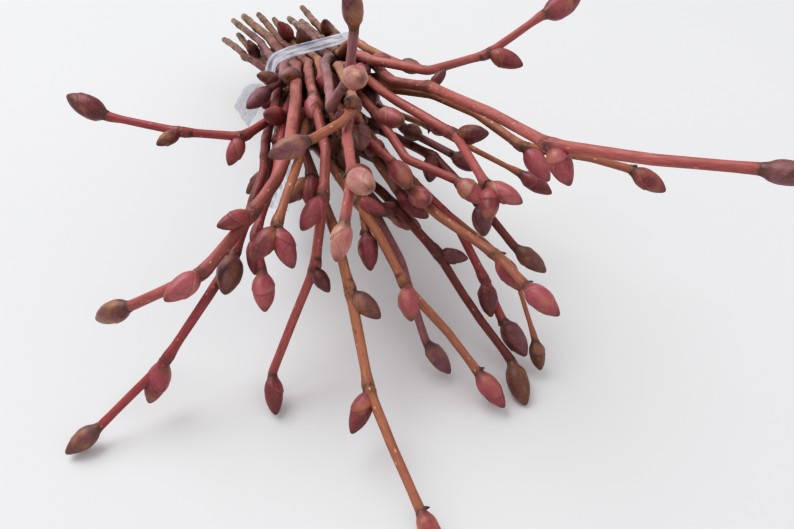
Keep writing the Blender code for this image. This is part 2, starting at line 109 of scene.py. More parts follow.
# %% The twigs
# Each twig: bark, place in its row and row in the tie, thickness, then the points that its stem passes from
# the tie to its tip, the last two being the foot and the tip of the end bud, then its side buds. Each side
# bud has its place, which is the number of the point it grows from or, below zero, how far behind the tie it
# is, and then the bud's own tip.
TWIGS = (
    ("red", -3.5, 4, 0.95, ((-6, -22, 34), (-5, -37, 36), (-11, -45, 36), (-24, -46, 38), (-40, -43, 40),
     (-49, -40, 43)), ((2, (-14, -50, 32)), (3, (-28, -51, 38)))),
    ("coral", -2.0, 5, 1.20, ((-1, -22, 38), (1, -40, 41), (2, -62, 44), (0, -69, 41), (-4, -75, 38),
     (-13, -84, 31), (-29, -82, 21), (-37, -81, 17)),
     ((0, (-2, -30, 42)), (4, (-10, -80, 38)), (5, (-19, -90, 30)))),
    ("red", -3.0, 3, 0.95, ((-7, -30, 31), (-5, -55, 34), (-9, -77, 29), (-13, -83, 25), (-22, -90, 14),
     (-34, -98, 5), (-40, -102, 2)), ((2, (-9, -86, 28)), (4, (-26, -93, 6)))),
    ("coral", -1.0, 5, 1.0, ((0, -14, 37), (4, -39, 42), (8, -59, 41), (8, -68, 36), (6, -74, 24),
     (1, -80, 14), (-3, -86, 6), (-2, -93, 2)), ((1, (4, -47, 41)), (3, (4, -75, 34)), (4, (9, -79, 22)))),
    ("mauve", 1.0, 5, 1.0, ((8, -38, 45), (10, -59, 50), (14, -63, 58), (15, -61, 67), (15, -62, 75)),
     ((2, (17, -70, 62)),)),
    ("tan", 2.0, 5, 0.95, ((10, -4, 38), (15, -12, 39), (22, -20, 40), (27, -25, 41)), ()),
    ("coral", 3.0, 5, 1.0, ((13, -14, 40), (17, -27, 44), (29, -33, 45), (42, -28, 47), (55, -20, 53),
     (64, -15, 55)), ((3, (50, -31, 46)), (-24, (1, 22, 34)))),
    ("tan", 3.0, 3, 0.95, ((15, -18, 36), (20, -33, 41), (29, -39, 43), (38, -47, 43), (47, -57, 41),
     (61, -58, 39), (69, -59, 37), (76, -62, 34)), ((4, (52, -62, 36)), (0, (17, -25, 39)))),
    ("coral", 3.5, 4, 1.0, ((15, -16, 40), (21, -36, 45), (29, -45, 48), (39, -65, 53), (46, -84, 58),
     (59, -95, 62), (71, -102, 65), (77, -106, 66)),
     ((4, (49, -90, 54)), (2, (32, -43, 51)), (0, (20, -20, 43)))),
    ("coral", 2.5, 4, 1.0, ((14, -18, 38), (23, -40, 42), (34, -54, 42), (38, -75, 44), (44, -80, 44)),
     ((2, (40, -58, 45)), (3, (38, -83, 42)), (0, (16, -25, 41)))),
    ("maroon", 1.0, 1, 0.95, ((15, -25, 28), (30, -46, 32), (39, -61, 30), (46, -68, 24), (52, -72, 21)),
     ((2, (39, -69, 28)), (1, (29, -54, 31)), (0, (18, -31, 30)))),
    ("coral", 2.0, 3, 1.0, ((13, -22, 36), (18, -40, 39), (24, -55, 37), (34, -63, 37), (39, -69, 36)),
     ((1, (24, -46, 41)), (0, (10, -29, 38)))),
    ("coral", 0.5, 2, 0.9, ((8, -25, 32), (15, -46, 36), (22, -58, 37), (25, -66, 37)),
     ((0, (5, -30, 35)), (1, (12, -52, 39)))),
    ("mauve", 2.5, 2, 0.95, ((14, -17, 32), (24, -38, 34), (34, -47, 33), (39, -53, 33)),
     ((1, (27, -44, 36)), (0, (18, -24, 30)))),
    ("tan", 2.0, 1, 0.72, ((16, -12, 26), (30, -28, 29), (40, -37, 28), (50, -42, 25), (57, -46, 22)),
     ((1, (34, -33, 31)),)),
    ("tan", 1.5, 2, 0.95, ((12, -28, 31), (20, -54, 34), (25, -62, 33), (30, -68, 32), (41, -78, 30),
     (45, -86, 30), (50, -93, 29)), ((2, (27, -69, 36)), (4, (45, -83, 26)), (0, (14, -34, 34)))),
    ("tan", 1.5, 0, 0.55, ((12, -28, 23), (30, -50, 23), (46, -66, 18), (50, -78, 8), (51, -82, 3)), ()),
    ("red", 0.5, 0, 0.95, ((9, -30, 26), (24, -52, 31), (34, -62, 26), (40, -70, 17), (44, -75, 10),
     (49, -81, 6)), ((3, (41, -76, 12)), (1, (27, -57, 29)), (0, (6, -36, 29)))),
    ("maroon", -0.5, 0, 0.95, ((6, -30, 25), (22, -58, 28), (31, -67, 22), (36, -72, 16), (41, -77, 11),
     (46, -82, 6), (48, -90, 2)), ((2, (37, -68, 22)), (1, (18, -63, 30)), (0, (10, -36, 23)))),
    ("tan", -1.5, 2, 0.95, ((4, -35, 33), (15, -65, 34), (24, -78, 22), (32, -82, 14), (38, -86, 7),
     (43, -92, 3)), ((2, (25, -85, 20)), (1, (21, -68, 33)), (0, (6, -41, 36)))),
    ("mauve", -2.0, 1, 0.95, ((2, -32, 28), (17, -58, 28), (23, -69, 22), (26, -75, 13), (28, -79, 8),
     (33, -83, 3)), ((0, (-1, -37, 30)),)),
    ("tan", -2.5, 2, 1.0, ((0, -40, 32), (10, -72, 31), (13, -80, 23), (17, -97, 14), (21, -106, 10),
     (26, -116, 5), (29, -122, 3)), ((2, (19, -85, 21)), (3, (14, -103, 9)), (0, (-3, -46, 31)))),
    ("coral", 1.5, 4, 0.95, ((12, -35, 43), (13, -68, 51), (15, -88, 55), (14, -95, 51), (13, -100, 47)),
     ((2, (18, -95, 57)),)),
    ("tan", -0.5, 2, 0.9, ((9, -35, 36), (13, -58, 36), (16, -70, 30), (17, -76, 25)),
     ((1, (17, -63, 37)),)),
    ("tan", 0.0, 1, 0.9, ((8, -28, 30), (16, -44, 33), (22, -57, 30), (28, -63, 27)),
     ((1, (19, -50, 37)),)),
    ("mauve", -1.0, 1, 0.9, ((5, -28, 28), (12, -48, 28), (20, -57, 24), (27, -60, 23)),
     ((1, (9, -53, 30)),)),
    ("tan", -0.5, 4, 0.95, ((3, -38, 40), (3, -60, 42), (2, -72, 42), (0, -79, 38), (3, -85, 33)),
     ((3, (-4, -85, 35)), (0, (-1, -45, 41)))),
    ("red", -1.5, 4, 0.95, ((-3, -38, 36), (-3, -56, 34), (-4, -69, 34), (-5, -75, 32), (-3, -81, 29),
     (-2, -88, 25)), ((0, (-6, -44, 40)), (3, (-5, -80, 27)))),
    ("tan", 0.5, 4, 0.95, ((9, -28, 44), (14, -58, 50), (12, -69, 53), (7, -75, 53), (0, -78, 52)),
     ((-20, (-6, 18, 33)), (1, (13, -63, 54)))),
    ("mauve", -3.0, 5, 0.95, ((-6, -9, 36), (-5, -24, 39), (-7, -28, 39), (-12, -34, 37)),
     ((1, (-10, -27, 42)),)),
    ("tan", -2.5, 4, 0.95, ((-7, -20, 33), (-6, -38, 32), (-6, -48, 30), (-7, -56, 28)),
     ((1, (-4, -44, 35)), (-30, (-21, 24, 28)), (0, (-11, -26, 34)), (2, (-11, -53, 27)))),
    ("maroon", -2.0, 3, 0.95, ((-1, -30, 35), (3, -54, 38), (5, -61, 37), (5, -68, 34)),
     ((0, (0, -35, 40)), (2, (0, -66, 34)))),
    ("tan", 0.0, 3, 0.95, ((9, -24, 38), (13, -46, 41), (14, -50, 41), (14, -58, 40)),
     ((1, (9, -52, 43)), (0, (13, -30, 41)))),
    ("tan", -1.0, 3, 0.9, ((6, -24, 34), (11, -46, 36), (13, -56, 35)), ((1, (8, -51, 39)),)),
    ("tan", 0.0, 5, 0.9, ((3, -11, 38), (5, -21, 39), (9, -31, 41)), ((-28, (-13, 24, 32)),)),
    ("mauve", 1.0, 3, 0.9, ((12, -10, 34), (16, -20, 36), (17, -28, 37)), ()),
)

print("twigs:", len(TWIGS), "side buds:", sum(len(twig[5]) for twig in TWIGS))

# %% [markdown]
# ## Lines through the points
#
# Stems don't bend like wire with sharp corners, and they don't curve like a spring either: they run nearly
# straight from node to node and turn over a few millimetres. So each line is sampled evenly and its corners
# are rounded with a moving average that is only a few millimetres wide.

# %% Even, rounded lines
def lerp_along(distance, knots, values):
    """Rows of values read at each distance, between knots."""
    values = np.asarray(values, float)
    return np.stack([np.interp(distance, knots, values[:, axis]) for axis in range(values.shape[1])], axis=1)


def lengths_along(points):
    """The distance from the first point to each point."""
    steps = np.linalg.norm(np.diff(points, axis=0), axis=1)
    return np.concatenate([[0.0], np.cumsum(steps)])


def rounded_line(points):
    """Even samples of the line through the points, with each corner rounded."""
    knots = lengths_along(points)
    count = int(knots[-1] / FINE) + 1
    line = lerp_along(np.linspace(0, knots[-1], count), knots, points)
    reach = int(CORNER / FINE / 2)
    kernel = np.hanning(2 * reach + 3)[1:-1]
    kernel = kernel / kernel.sum()
    before = 2 * line[0] - line[reach:0:-1]
    after = 2 * line[-1] - line[-2:-reach - 2:-1]
    padded = np.concatenate([before, line, after])
    smooth = np.stack([np.convolve(padded[:, axis], kernel, mode="valid") for axis in range(3)], axis=1)
    along = lengths_along(smooth)
    samples = int(round(along[-1] / SAMPLE)) + 1
    return lerp_along(np.linspace(0, along[-1], samples), along, smooth)

# %% [markdown]
# ## Side by side in the tie
#
# The tie is the one place where every stem's position is given by its neighbours. The rows lie like stacked
# pipes, each in the hollows of the row below, and behind the tie the rows open out to the cut ends.

# %% Places in the tie
def bundle_axes():
    """Unit vectors at the tie: along the stems to the tips, across to the right, and up out of the rows."""
    level = np.array((math.sin(BUNDLE_TURN), -math.cos(BUNDLE_TURN), 0.0))
    along = level * math.cos(BUNDLE_RISE) + np.array((0, 0, math.sin(BUNDLE_RISE)))
    across = np.array((math.cos(BUNDLE_TURN), math.sin(BUNDLE_TURN), 0.0))
    up = np.cross(along, across)
    rolled_across = across * math.cos(TIE_ROLL) + up * math.sin(TIE_ROLL)
    rolled_up = up * math.cos(TIE_ROLL) - across * math.sin(TIE_ROLL)
    return along, rolled_across, rolled_up


ALONG, ACROSS, UP = bundle_axes()
print("the stems run through the tie along", np.round(ALONG, 2))


def slot_offset(column, row):
    """Where a stem runs in the tie, from the tie's middle."""
    return ACROSS * column * STEM_PITCH + UP * (row - (ROWS - 1) / 2) * ROW_PITCH


def cut_end(column, row, number):
    """The cut end of a stem behind the tie; the rows open out and no two are quite the same length.

    Here and below, sines of a twig's number stand in for chance, so that every run gives the same bundle.
    """
    length = BACK_LENGTH + BACK_VARIATION * (0.5 + 0.5 * math.sin(2.4 * number))
    opening = BACK_SPREAD + 0.25 * math.sin(1.7 * number + 1.0)
    level = np.array([-math.sin(BUNDLE_TURN), math.cos(BUNDLE_TURN), 0.0])
    end = level * length + slot_offset(column, row) * opening
    end[2] = max(BACK_END_RISE + (row - (ROWS - 1) / 2) * ROW_PITCH * BACK_SPREAD, STEM_RADIUS)
    return end


def twig_line(twig, number):
    """A twig's centre line from cut end to tip."""
    _, column, row, _, stem, _ = twig
    slot = TIE_CENTRE + slot_offset(column, row)
    held = [slot - ALONG * PINNED_BACK, slot + ALONG * PINNED_FRONT]
    end = cut_end(column, row, number)
    kink = ACROSS * math.sin(3.1 * number) + UP * math.cos(4.7 * number)
    halfway = (end + held[0]) / 2 + kink * BACK_KINK
    points = np.array([end, halfway, *held, *stem], float)
    return rounded_line(points)

# %% Thickness along a twig
def bud_radius(share, length):
    """A bud's radius at a share of its length."""
    shares, radii = zip(*BUD_RADII)
    return np.interp(share, shares, radii) * BUD_WIDTH * length


def twig_radii(line, twig):
    """The radius at each sample: the stem tapers both ways from the tie, then swells into the end bud."""
    thickness, stem = twig[3], twig[4]
    along = lengths_along(line)
    bud_length = math.dist(stem[-2], stem[-1])
    bud_start = along[-1] - bud_length
    tied = along[int(np.argmin(abs((line - np.array(TIE_CENTRE)) @ ALONG)))]
    radii = np.interp(along, [0, tied, bud_start], [BACK_RADIUS, STEM_RADIUS, TIP_RADIUS]) * thickness
    share = (along - bud_start) / bud_length
    bud = bud_radius(np.clip(share, 0, 1), bud_length)
    return np.where(share > 0, bud, radii)


def bud_root(line, stem, place):
    """The sample that a side bud grows from: at a point of the stem, or some way behind the tie."""
    if place >= 0:
        return int(np.argmin(np.linalg.norm(line - np.array(stem[place]), axis=1)))
    return int(np.argmin(abs((line - TIE_CENTRE) @ ALONG - place)))

# %% [markdown]
# ## Letting the twigs settle
#
# Thirty-six twigs listed one by one are bound to run through each other somewhere. Real ones lie against
# each other instead. Each line is treated as a row of balls, and balls that overlap push each other away
# until every twig has room. The same steps made the solids, so the skins land exactly where the solids are.

# %% Pushing the twigs apart
def knot_centre():
    """The knot sits against the strip where the outermost stem on the left pushes it out."""
    outermost = STEM_PITCH * WIDEST + STEM_RADIUS + FILM_CLEARANCE + FILM_THICK
    return TIE_CENTRE - ACROSS * (outermost + KNOT_RADIUS * 0.55) - UP * ROW_PITCH / 2


def film_tails():
    """Centre lines of the strip's two loose ends, which leave the knot at the left of the tie."""
    knot = knot_centre()
    short = knot + np.array([(0, 0, 0), (-3, 3, 3), (-7, 5, 0), (-12, 6, -8)])
    long = knot + np.array([(0, 0, 0), (-1, -7, -4), (1, -18, -7), (4, -29, -8), (3, -36, -9)])
    return short, long


def close_pairs(balls, size, owner, held):
    """Pairs of balls of different twigs that are near enough to meet while the twigs settle."""
    firsts, seconds = [], []
    for start in range(0, len(balls), BLOCK):
        rows = np.arange(start, min(start + BLOCK, len(balls)))
        distance = np.linalg.norm(balls[rows, None] - balls[None], axis=2)
        near = distance < size[rows, None] + size[None] + LOOK_AHEAD
        near &= owner[rows, None] != owner[None]
        near &= ~(held[rows, None] & held[None])
        near &= rows[:, None] < np.arange(len(balls))[None]
        first, second = np.nonzero(near)
        firsts.append(rows[first])
        seconds.append(second)
    return np.concatenate(firsts), np.concatenate(seconds)


def settle(lines, radii, buds):
    """Moves the lines apart until no two twigs are closer than GAP and none is below the table.

    Every sample is a ball. Balls of two twigs that are too close push each other away, the stems held in the
    tie stay put, and each push is shared along its stem so that the stem bends and doesn't kink.
    """
    starts = np.cumsum([0] + [len(line) for line in lines])
    points = np.concatenate(lines)
    home = points.copy()
    owner = np.concatenate([np.full(len(line), i) for i, line in enumerate(lines)])
    depth = (points - TIE_CENTRE) @ ALONG
    held = (depth > -PINNED_BACK) & (depth < PINNED_FRONT)
    before = np.arange(len(points)) - 1
    before[starts[:-1]] = starts[:-1]
    after = np.arange(len(points)) + 1
    after[starts[1:] - 1] = starts[1:] - 1

    anchor = [np.arange(len(points))]
    offset = [np.zeros((len(points), 3))]
    size = [np.concatenate(radii)]
    for twig, root, tip in buds:
        index = starts[twig] + root
        arm = np.asarray(tip, float) - points[index]
        for share in BUD_BALLS:
            anchor.append(np.array([index]))
            offset.append((arm * share)[None])
            size.append(np.array([bud_radius(share, np.linalg.norm(arm))]))
    film = np.concatenate([rounded_line(tail) for tail in film_tails()])
    loose = len(points)
    points = np.concatenate([points, film])
    home = np.concatenate([home, film])
    owner = np.concatenate([owner, np.full(len(film), -1)])
    held = np.concatenate([held, np.ones(len(film), bool)])
    anchor.append(np.arange(loose, len(points)))
    offset.append(np.zeros((len(film), 3)))
    size.append(np.full(len(film), FILM_WIDTH * 0.75))
    anchor = np.concatenate(anchor)
    offset = np.concatenate(offset)
    size = np.concatenate(size)

    for turn in range(ROUNDS):
        balls = points[anchor] + offset
        if turn % RENEW == 0:
            first, second = close_pairs(balls, size, owner[anchor], held[anchor])
        apart = balls[first] - balls[second]
        distance = np.linalg.norm(apart, axis=1)
        short = size[first] + size[second] + GAP - distance
        touching = short > 0
        push = apart[touching] * (short[touching] / np.maximum(distance[touching], 1e-6))[:, None] * 0.5
        total = np.zeros_like(points)
        count = np.zeros(len(points))
        np.add.at(total, anchor[first[touching]], push)
        np.add.at(total, anchor[second[touching]], -push)
        np.add.at(count, anchor[first[touching]], 1)
        np.add.at(count, anchor[second[touching]], 1)
        sunk = np.maximum(size - balls[:, 2], 0)
        lift = np.zeros(len(points))
        np.maximum.at(lift, anchor, sunk)
        total /= np.maximum(count, 1)[:, None]
        total[:, 2] += lift
        total[held] = 0
        points += total * PUSH
        if turn < ROUNDS - LAST_ROUNDS:
            moved = points - home
            for _ in range(PASSES):
                mean = (moved[before] + moved[after]) / 2
                moved[:loose] += 0.5 * (mean - moved[:loose])
                moved[held] = 0
            points = home + moved
    return [points[start:end] for start, end in zip(starts[:-1], starts[1:])]


def resting_shift(lines, radii):
    """The move that puts the middle of the settled twigs' bounding box over the origin."""
    low = np.min([np.min(line - size[:, None], axis=0) for line, size in zip(lines, radii)], axis=0)
    high = np.max([np.max(line + size[:, None], axis=0) for line, size in zip(lines, radii)], axis=0)
    return np.array([-(low[0] + high[0]) / 2, -(low[1] + high[1]) / 2, -low[2]])

# %% Settled lines, standing at the origin
lines = [twig_line(twig, number) for number, twig in enumerate(TWIGS)]
radii = [twig_radii(line, twig) for line, twig in zip(lines, TWIGS)]
side_buds = []
for number, (twig, line) in enumerate(zip(TWIGS, lines)):
    for place, tip in twig[5]:
        side_buds.append((number, bud_root(line, twig[4], place), tip))
arms = [np.array(tip) - lines[number][root] for number, root, tip in side_buds]
lines = settle(lines, radii, side_buds)
SHIFT = resting_shift(lines, radii)
lines = [line + SHIFT for line in lines]
print("moved by", np.round(SHIFT, 1), "mm to stand at the origin")

# %% [markdown]
# ## Camera, table and light
#
# The view looks down at about forty degrees from just in front of the tips, close enough for strong
# perspective: near twigs are large and the tie is small. A wide lens gives that, and it is set first so that
# each new piece can be judged in the same view. The table is one plain pale sheet, and the light is a large
# window on the left with soft fill from the room.

# %% Camera
EYE = np.array((22.0, -190.0, 122.0)) + SHIFT
LOOK_DOWN = math.radians(40)
camera_data = bpy.data.cameras.new("camera")
camera_data.sensor_width = 36.0
camera_data.lens = 35.0
camera_data.clip_start = 0.005
camera = bpy.data.objects.new("camera", camera_data)
camera.location = EYE * MM
camera.rotation_euler = (math.pi / 2 - LOOK_DOWN, 0.0, 0.0)
bpy.context.scene.collection.objects.link(camera)
bpy.context.scene.camera = camera
print("camera", np.round(EYE, 1), "mm")


# %% Small tools for materials
def linear(colour):
    """An sRGB hex colour such as #C07060, or a grey from 0 to 1, as linear red, green, blue and alpha."""
    if isinstance(colour, float):
        return (colour, colour, colour, 1.0)
    shares = np.array([int(colour[i:i + 2], 16) for i in (1, 3, 5)]) / 255
    straight = np.where(shares <= 0.04045, shares / 12.92, ((shares + 0.055) / 1.055) ** 2.4)
    return (*straight.tolist(), 1.0)


def add(tree, kind, output=None, inputs=None, stops=(), **settings):
    """Adds a node: its own settings first, then its inputs and, on a colour ramp, its stops.

    An input is a socket to link, a hex colour or a plain value. A stop is a position and a colour. Returns
    the output with the given name, or the node if none is named.
    """
    made = tree.nodes.new("ShaderNode" + kind)
    for name, value in settings.items():
        setattr(made, name, value)
    for name, value in (inputs or {}).items():
        if isinstance(value, bpy.types.NodeSocket):
            tree.links.new(value, made.inputs[name])
        else:
            made.inputs[name].default_value = linear(value) if isinstance(value, str) else value
    for place, _ in stops[1:-1]:
        made.color_ramp.elements.new(place)
    for index, (place, colour) in enumerate(stops):
        made.color_ramp.elements[index].position = place
        made.color_ramp.elements[index].color = linear(colour)
    return made.outputs[output] if output else made


def new_material(name):
    """A material whose node tree is still empty, and that tree."""
    material = bpy.data.materials.new(name)
    material.use_nodes = True
    material.node_tree.nodes.clear()
    return material, material.node_tree


def surface(tree, inputs, height=None, strength=0.0, distance=0.0):
    """Ends a material: its shader with these inputs, its output, and a relief if it is given a height."""
    if height is not None:
        relief = {"Height": height, "Strength": strength, "Distance": distance}
        inputs = {**inputs, "Normal": add(tree, "Bump", "Normal", relief)}
    add(tree, "OutputMaterial", inputs={"Surface": add(tree, "BsdfPrincipled", "BSDF", inputs)})


# %% Table: matt white laminate
def table_material():
    """Matt white laminate: even and pale, with a very faint cool mottle and no gloss to speak of."""
    material, tree = new_material("matt_white_laminate")
    place = add(tree, "TexCoord", "Object")
    mottle = add(tree, "TexNoise", "Fac", {"Vector": place, "Scale": 9.0, "Detail": 3.0})
    colour = add(tree, "ValToRGB", "Color", {"Fac": mottle}, ((0.0, "#E2E3E4"), (1.0, "#E6E6E7")))
    surface(tree, {"Base Color": colour, "Roughness": 0.6, "Specular IOR Level": 0.25})
    return material


TABLE_HALF = 4.0  # half a side of the table, in metres


def make_table():
    """A flat square with its middle at the origin."""
    mesh = bpy.data.meshes.new("table")
    corners = [(x * TABLE_HALF, y * TABLE_HALF, 0) for x, y in ((-1, -1), (1, -1), (1, 1), (-1, 1))]
    mesh.from_pydata(corners, [], [(0, 1, 2, 3)])
    mesh.materials.append(table_material())
    table = bpy.data.objects.new("table", mesh)
    bpy.context.scene.collection.objects.link(table)


make_table()
print("table:", 2 * TABLE_HALF, "m square")


# %% Window and room light
def area_light(name, place, aim, size, power, colour):
    """A square lamp at place, turned so that it faces aim. Distances are in metres."""
    data = bpy.data.lights.new(name, "AREA")
    data.size = size
    data.energy = power
    data.color = linear(colour)[:3]
    lamp = bpy.data.objects.new(name, data)
    lamp.location = place
    way = np.array(aim) - np.array(place)
    flat = math.hypot(way[0], way[1])
    lamp.rotation_euler = (math.atan2(flat, -way[2]), 0.0, math.atan2(way[1], way[0]) - math.pi / 2)
    bpy.context.scene.collection.objects.link(lamp)


area_light("window", (-0.72, 0.50, 1.40), (0.0, 0.0, 0.0), 1.4, 19.0, "#FBFCFF")
area_light("room", (0.8, -0.7, 0.9), (0.0, 0.0, 0.0), 1.4, 2.5, "#FFFAF4")
world = bpy.data.worlds.new("pale_room")
world.use_nodes = True
world.node_tree.nodes["Background"].inputs["Color"].default_value = linear("#F5F5F6")
world.node_tree.nodes["Background"].inputs["Strength"].default_value = 0.60
bpy.context.scene.world = world
view = bpy.context.scene.view_settings
view.view_transform = "Standard"  # colours come out as they were mixed

# A camera deepens the darks and lifts the pale tones a little: brightness in and out, between 0 and 1
TONES = ((0.03, 0.016), (0.1, 0.073), (0.2, 0.18), (0.36, 0.39), (0.6, 0.68), (0.85, 0.88))
view.use_curve_mapping = True
for tone_in, tone_out in TONES:
    view.curve_mapping.curves[3].points.new(tone_in, tone_out)
view.curve_mapping.update()
print("points on the tone curve:", len(view.curve_mapping.curves[3].points))

# %% [markdown]
# ## Surfaces from grids
#
# A stem, a bud and a leaf scar are all round things that close at both ends. Each could be a stack of
# cylinders and spheres, but then every swelling is another object. Here each one is a grid of rings: rings
# follow each other along the piece, every ring has the same number of points, and a pole closes each end.


# %% Rings to mesh arrays
def closed_faces(rows, around):
    """Quads between the rings, which wrap around, and a fan of triangles to the pole at each end.

    The points are numbered pole, ring after ring, pole.
    """
    row = np.arange(rows - 1)[:, None] * around + 1
    column = np.arange(around)[None]
    beside = (column + 1) % around
    quads = np.stack([row + column, row + beside, row + around + beside, row + around + column], axis=-1)
    column = np.arange(around)
    beside = (column + 1) % around
    last = 1 + (rows - 1) * around
    pole = 1 + rows * around
    first_fan = np.stack([np.zeros(around, int), 1 + beside, 1 + column], axis=-1)
    last_fan = np.stack([np.full(around, pole), last + column, last + beside], axis=-1)
    return quads.reshape(-1, 4), np.concatenate([first_fan, last_fan])


def with_poles(grid):
    """A grid of values on rings as one list, with the mean of the first and last ring as the poles."""
    flat = grid.reshape(-1, grid.shape[-1])
    return np.concatenate([grid[0].mean(axis=0)[None], flat, grid[-1].mean(axis=0)[None]])


MARKS = ("node", "scar", "share", "age_and_shade", "tint", "outer", "inner")


def round_piece(rings, grain, marks, finish):
    """A closed round piece: its rings of points, the same grid in grain coordinates, its marks, its finish.

    Grain coordinates are millimetres measured across and along the piece as if it were straight, so that a
    pattern follows the stem round its bends. Each mark is a number from 0 to 1 at every point.
    """
    quads, fans = closed_faces(len(rings), rings.shape[1])
    painted = np.stack([np.broadcast_to(marks.get(name, 0.0), rings.shape[:2]) for name in MARKS], axis=-1)
    return {"points": with_poles(rings), "grain": with_poles(grain), "marks": with_poles(painted),
            "quads": quads, "fans": fans, "finish": finish}


def make_object(name, pieces, materials):
    """Joins pieces into one mesh object in metres. Each piece is already closed, and keeps its own finish."""
    offsets = np.cumsum([0] + [len(piece["points"]) for piece in pieces])
    points = np.concatenate([piece["points"] for piece in pieces]) * MM
    corners = []
    sizes = []
    finishes = []
    for piece, offset in zip(pieces, offsets):
        for faces in (piece["quads"], piece["fans"]):
            corners.append((faces + offset).ravel())
            sizes.append(np.full(len(faces), faces.shape[1]))
            finishes.append(np.full(len(faces), piece["finish"]))
    corners, sizes, finishes = map(np.concatenate, (corners, sizes, finishes))
    mesh = bpy.data.meshes.new(name)
    mesh.vertices.add(len(points))
    mesh.vertices.foreach_set("co", points.ravel())
    mesh.loops.add(len(corners))
    mesh.loops.foreach_set("vertex_index", corners)
    mesh.polygons.add(len(sizes))
    mesh.polygons.foreach_set("loop_start", np.concatenate([[0], np.cumsum(sizes)[:-1]]))
    mesh.polygons.foreach_set("material_index", finishes)
    mesh.update()
    mesh.validate()
    mesh.polygons.foreach_set("use_smooth", np.ones(len(sizes), bool))
    grain = mesh.attributes.new("grain", "FLOAT_VECTOR", "POINT")
    grain.data.foreach_set("vector", np.concatenate([piece["grain"] for piece in pieces]).ravel())
    painted = np.concatenate([piece["marks"] for piece in pieces])
    for index, mark in enumerate(MARKS):
        layer = mesh.attributes.new(mark, "FLOAT", "POINT")
        layer.data.foreach_set("value", np.ascontiguousarray(painted[:, index]))
    for material in materials:
        mesh.materials.append(material)
    made = bpy.data.objects.new(name, mesh)
    bpy.context.scene.collection.objects.link(made)
    return made


# %% [markdown]
# ## A frame that follows a line
#
# A tube needs two directions across its line at every ring. Turning them from ring to ring takes a loop, so
# instead one fixed direction is chosen for each line, the one that the line never runs along, and both
# directions come from it at once with cross products.


# %% Smooth line and its cross directions
def smooth_line(points, step):
    """Even points, step apart, on the smooth curve through the given points (Catmull-Rom).

    Between two points the curve is a cubic whose slope at each is half the way from its neighbour before to
    its neighbour after.
    """
    ends = np.concatenate([[2 * points[0] - points[1]], points, [2 * points[-1] - points[-2]]])
    along = lengths_along(points)
    count = int(round(along[-1] / step)) + 1
    at = np.interp(np.linspace(0, along[-1], count), along, np.arange(len(points)))
    span = np.minimum(at.astype(int), len(points) - 2)
    u = (at - span)[:, None]
    a, b, c, d = (ends[span + i] for i in range(4))
    return 0.5 * (2 * b + (c - a) * u + (2 * a - 5 * b + 4 * c - d) * u**2 + (3 * b - a - 3 * c + d) * u**3)


def unit(vectors):
    return vectors / np.linalg.norm(vectors, axis=-1, keepdims=True)


def cross_directions(line):
    """Two unit directions across the line at every point, the same handedness all along."""
    ahead = unit(np.gradient(line, axis=0))
    choices = unit(np.array([(1, 0, 0), (0, 1, 0), (0, 0, 1), (1, 1, 1), (1, -1, 1), (-1, 1, 1)], float))
    clearance = np.linalg.norm(np.cross(ahead[None], choices[:, None]), axis=2).min(axis=1)
    fixed = choices[np.argmax(clearance)]
    across = unit(np.cross(fixed[None], ahead))
    return across, np.cross(ahead, across)


def directions_across(root, ahead):
    """The same two directions for a straight piece that starts at root and runs ahead."""
    across, over = cross_directions(np.stack([root, root + ahead, root + 2 * ahead]))
    return across[0], over[0]


def soft_step(value, low, high):
    """0 below low, 1 above high, and a smooth S between them."""
    share = np.clip((value - low) / (high - low), 0, 1)
    return share * share * (3 - 2 * share)


def bump(value, width):
    """A smooth hill, 1 at zero and about a third at width."""
    return np.exp(-(value / width) ** 2)


# %% [markdown]
# ## Stems
#
# Bark is drawn tight over young wood, so a stem is almost a plain tube. What makes it read as a twig is at
# the nodes: the stem thickens into a cushion under each bud, the fallen leaf has left a half-moon scar on
# that cushion, and a fine raised ring runs around it. Sculpting that by hand would take a day, so the radius
# is a formula of two numbers, the distance along the stem and the angle around it.

# %% Stem surface
STEM_STEP = 0.4
STEM_SIDES = 26
CUT_RINGS = np.array([0.12, 0.3, 0.55, 0.8, 0.95])  # rings across the cut face, as shares of the radius
UNEVEN = 0.04  # how much the thickness wanders, as a share
OUT_OF_ROUND = 0.02
CUSHION = 0.34  # how far the cushion under a bud stands out on the bud's side
CUSHION_LENGTH = 1.9
CUSHION_BREADTH = 1.7
SWELLING = 0.13  # how much the stem swells all around at a node
RIDGES = ((0.9, 0.12, 0.32), (1.7, 0.06, 0.25))  # fine rings: how far above the node, height and breadth
SCAR_LENGTH = 0.6  # half the leaf scar's size along the stem and around it
SCAR_BREADTH = 1.15
SCAR_DEPTH = 0.08
FLARE_LENGTH = 4.0  # over which the stem widens to the foot of its end bud
SLANT = 0.35  # of the cut, as a share of the radius
BARE_NODE_PITCH = 13.0  # from node to node where the stem has lost its buds
BARE_STRENGTH = 0.45  # how much of a node is left there
GRAIN_APART = 37.0  # how far the pattern moves on from twig to twig, so that no two are alike


def grain_of(grid, turn, along):
    """Grain coordinates of a round piece with these radii, at these angles and distances along."""
    return np.stack([grid * np.cos(turn), grid * np.sin(turn), np.broadcast_to(along, grid.shape)], axis=-1)


def wobble(along, seed):
    """A slow unevenness, between -1 and 1, made of three waves of different length."""
    waves = [np.sin(along / length + seed * turn) for length, turn in ((3.1, 1.7), (5.3, 4.1), (9.7, 2.9))]
    return sum(waves) / 3


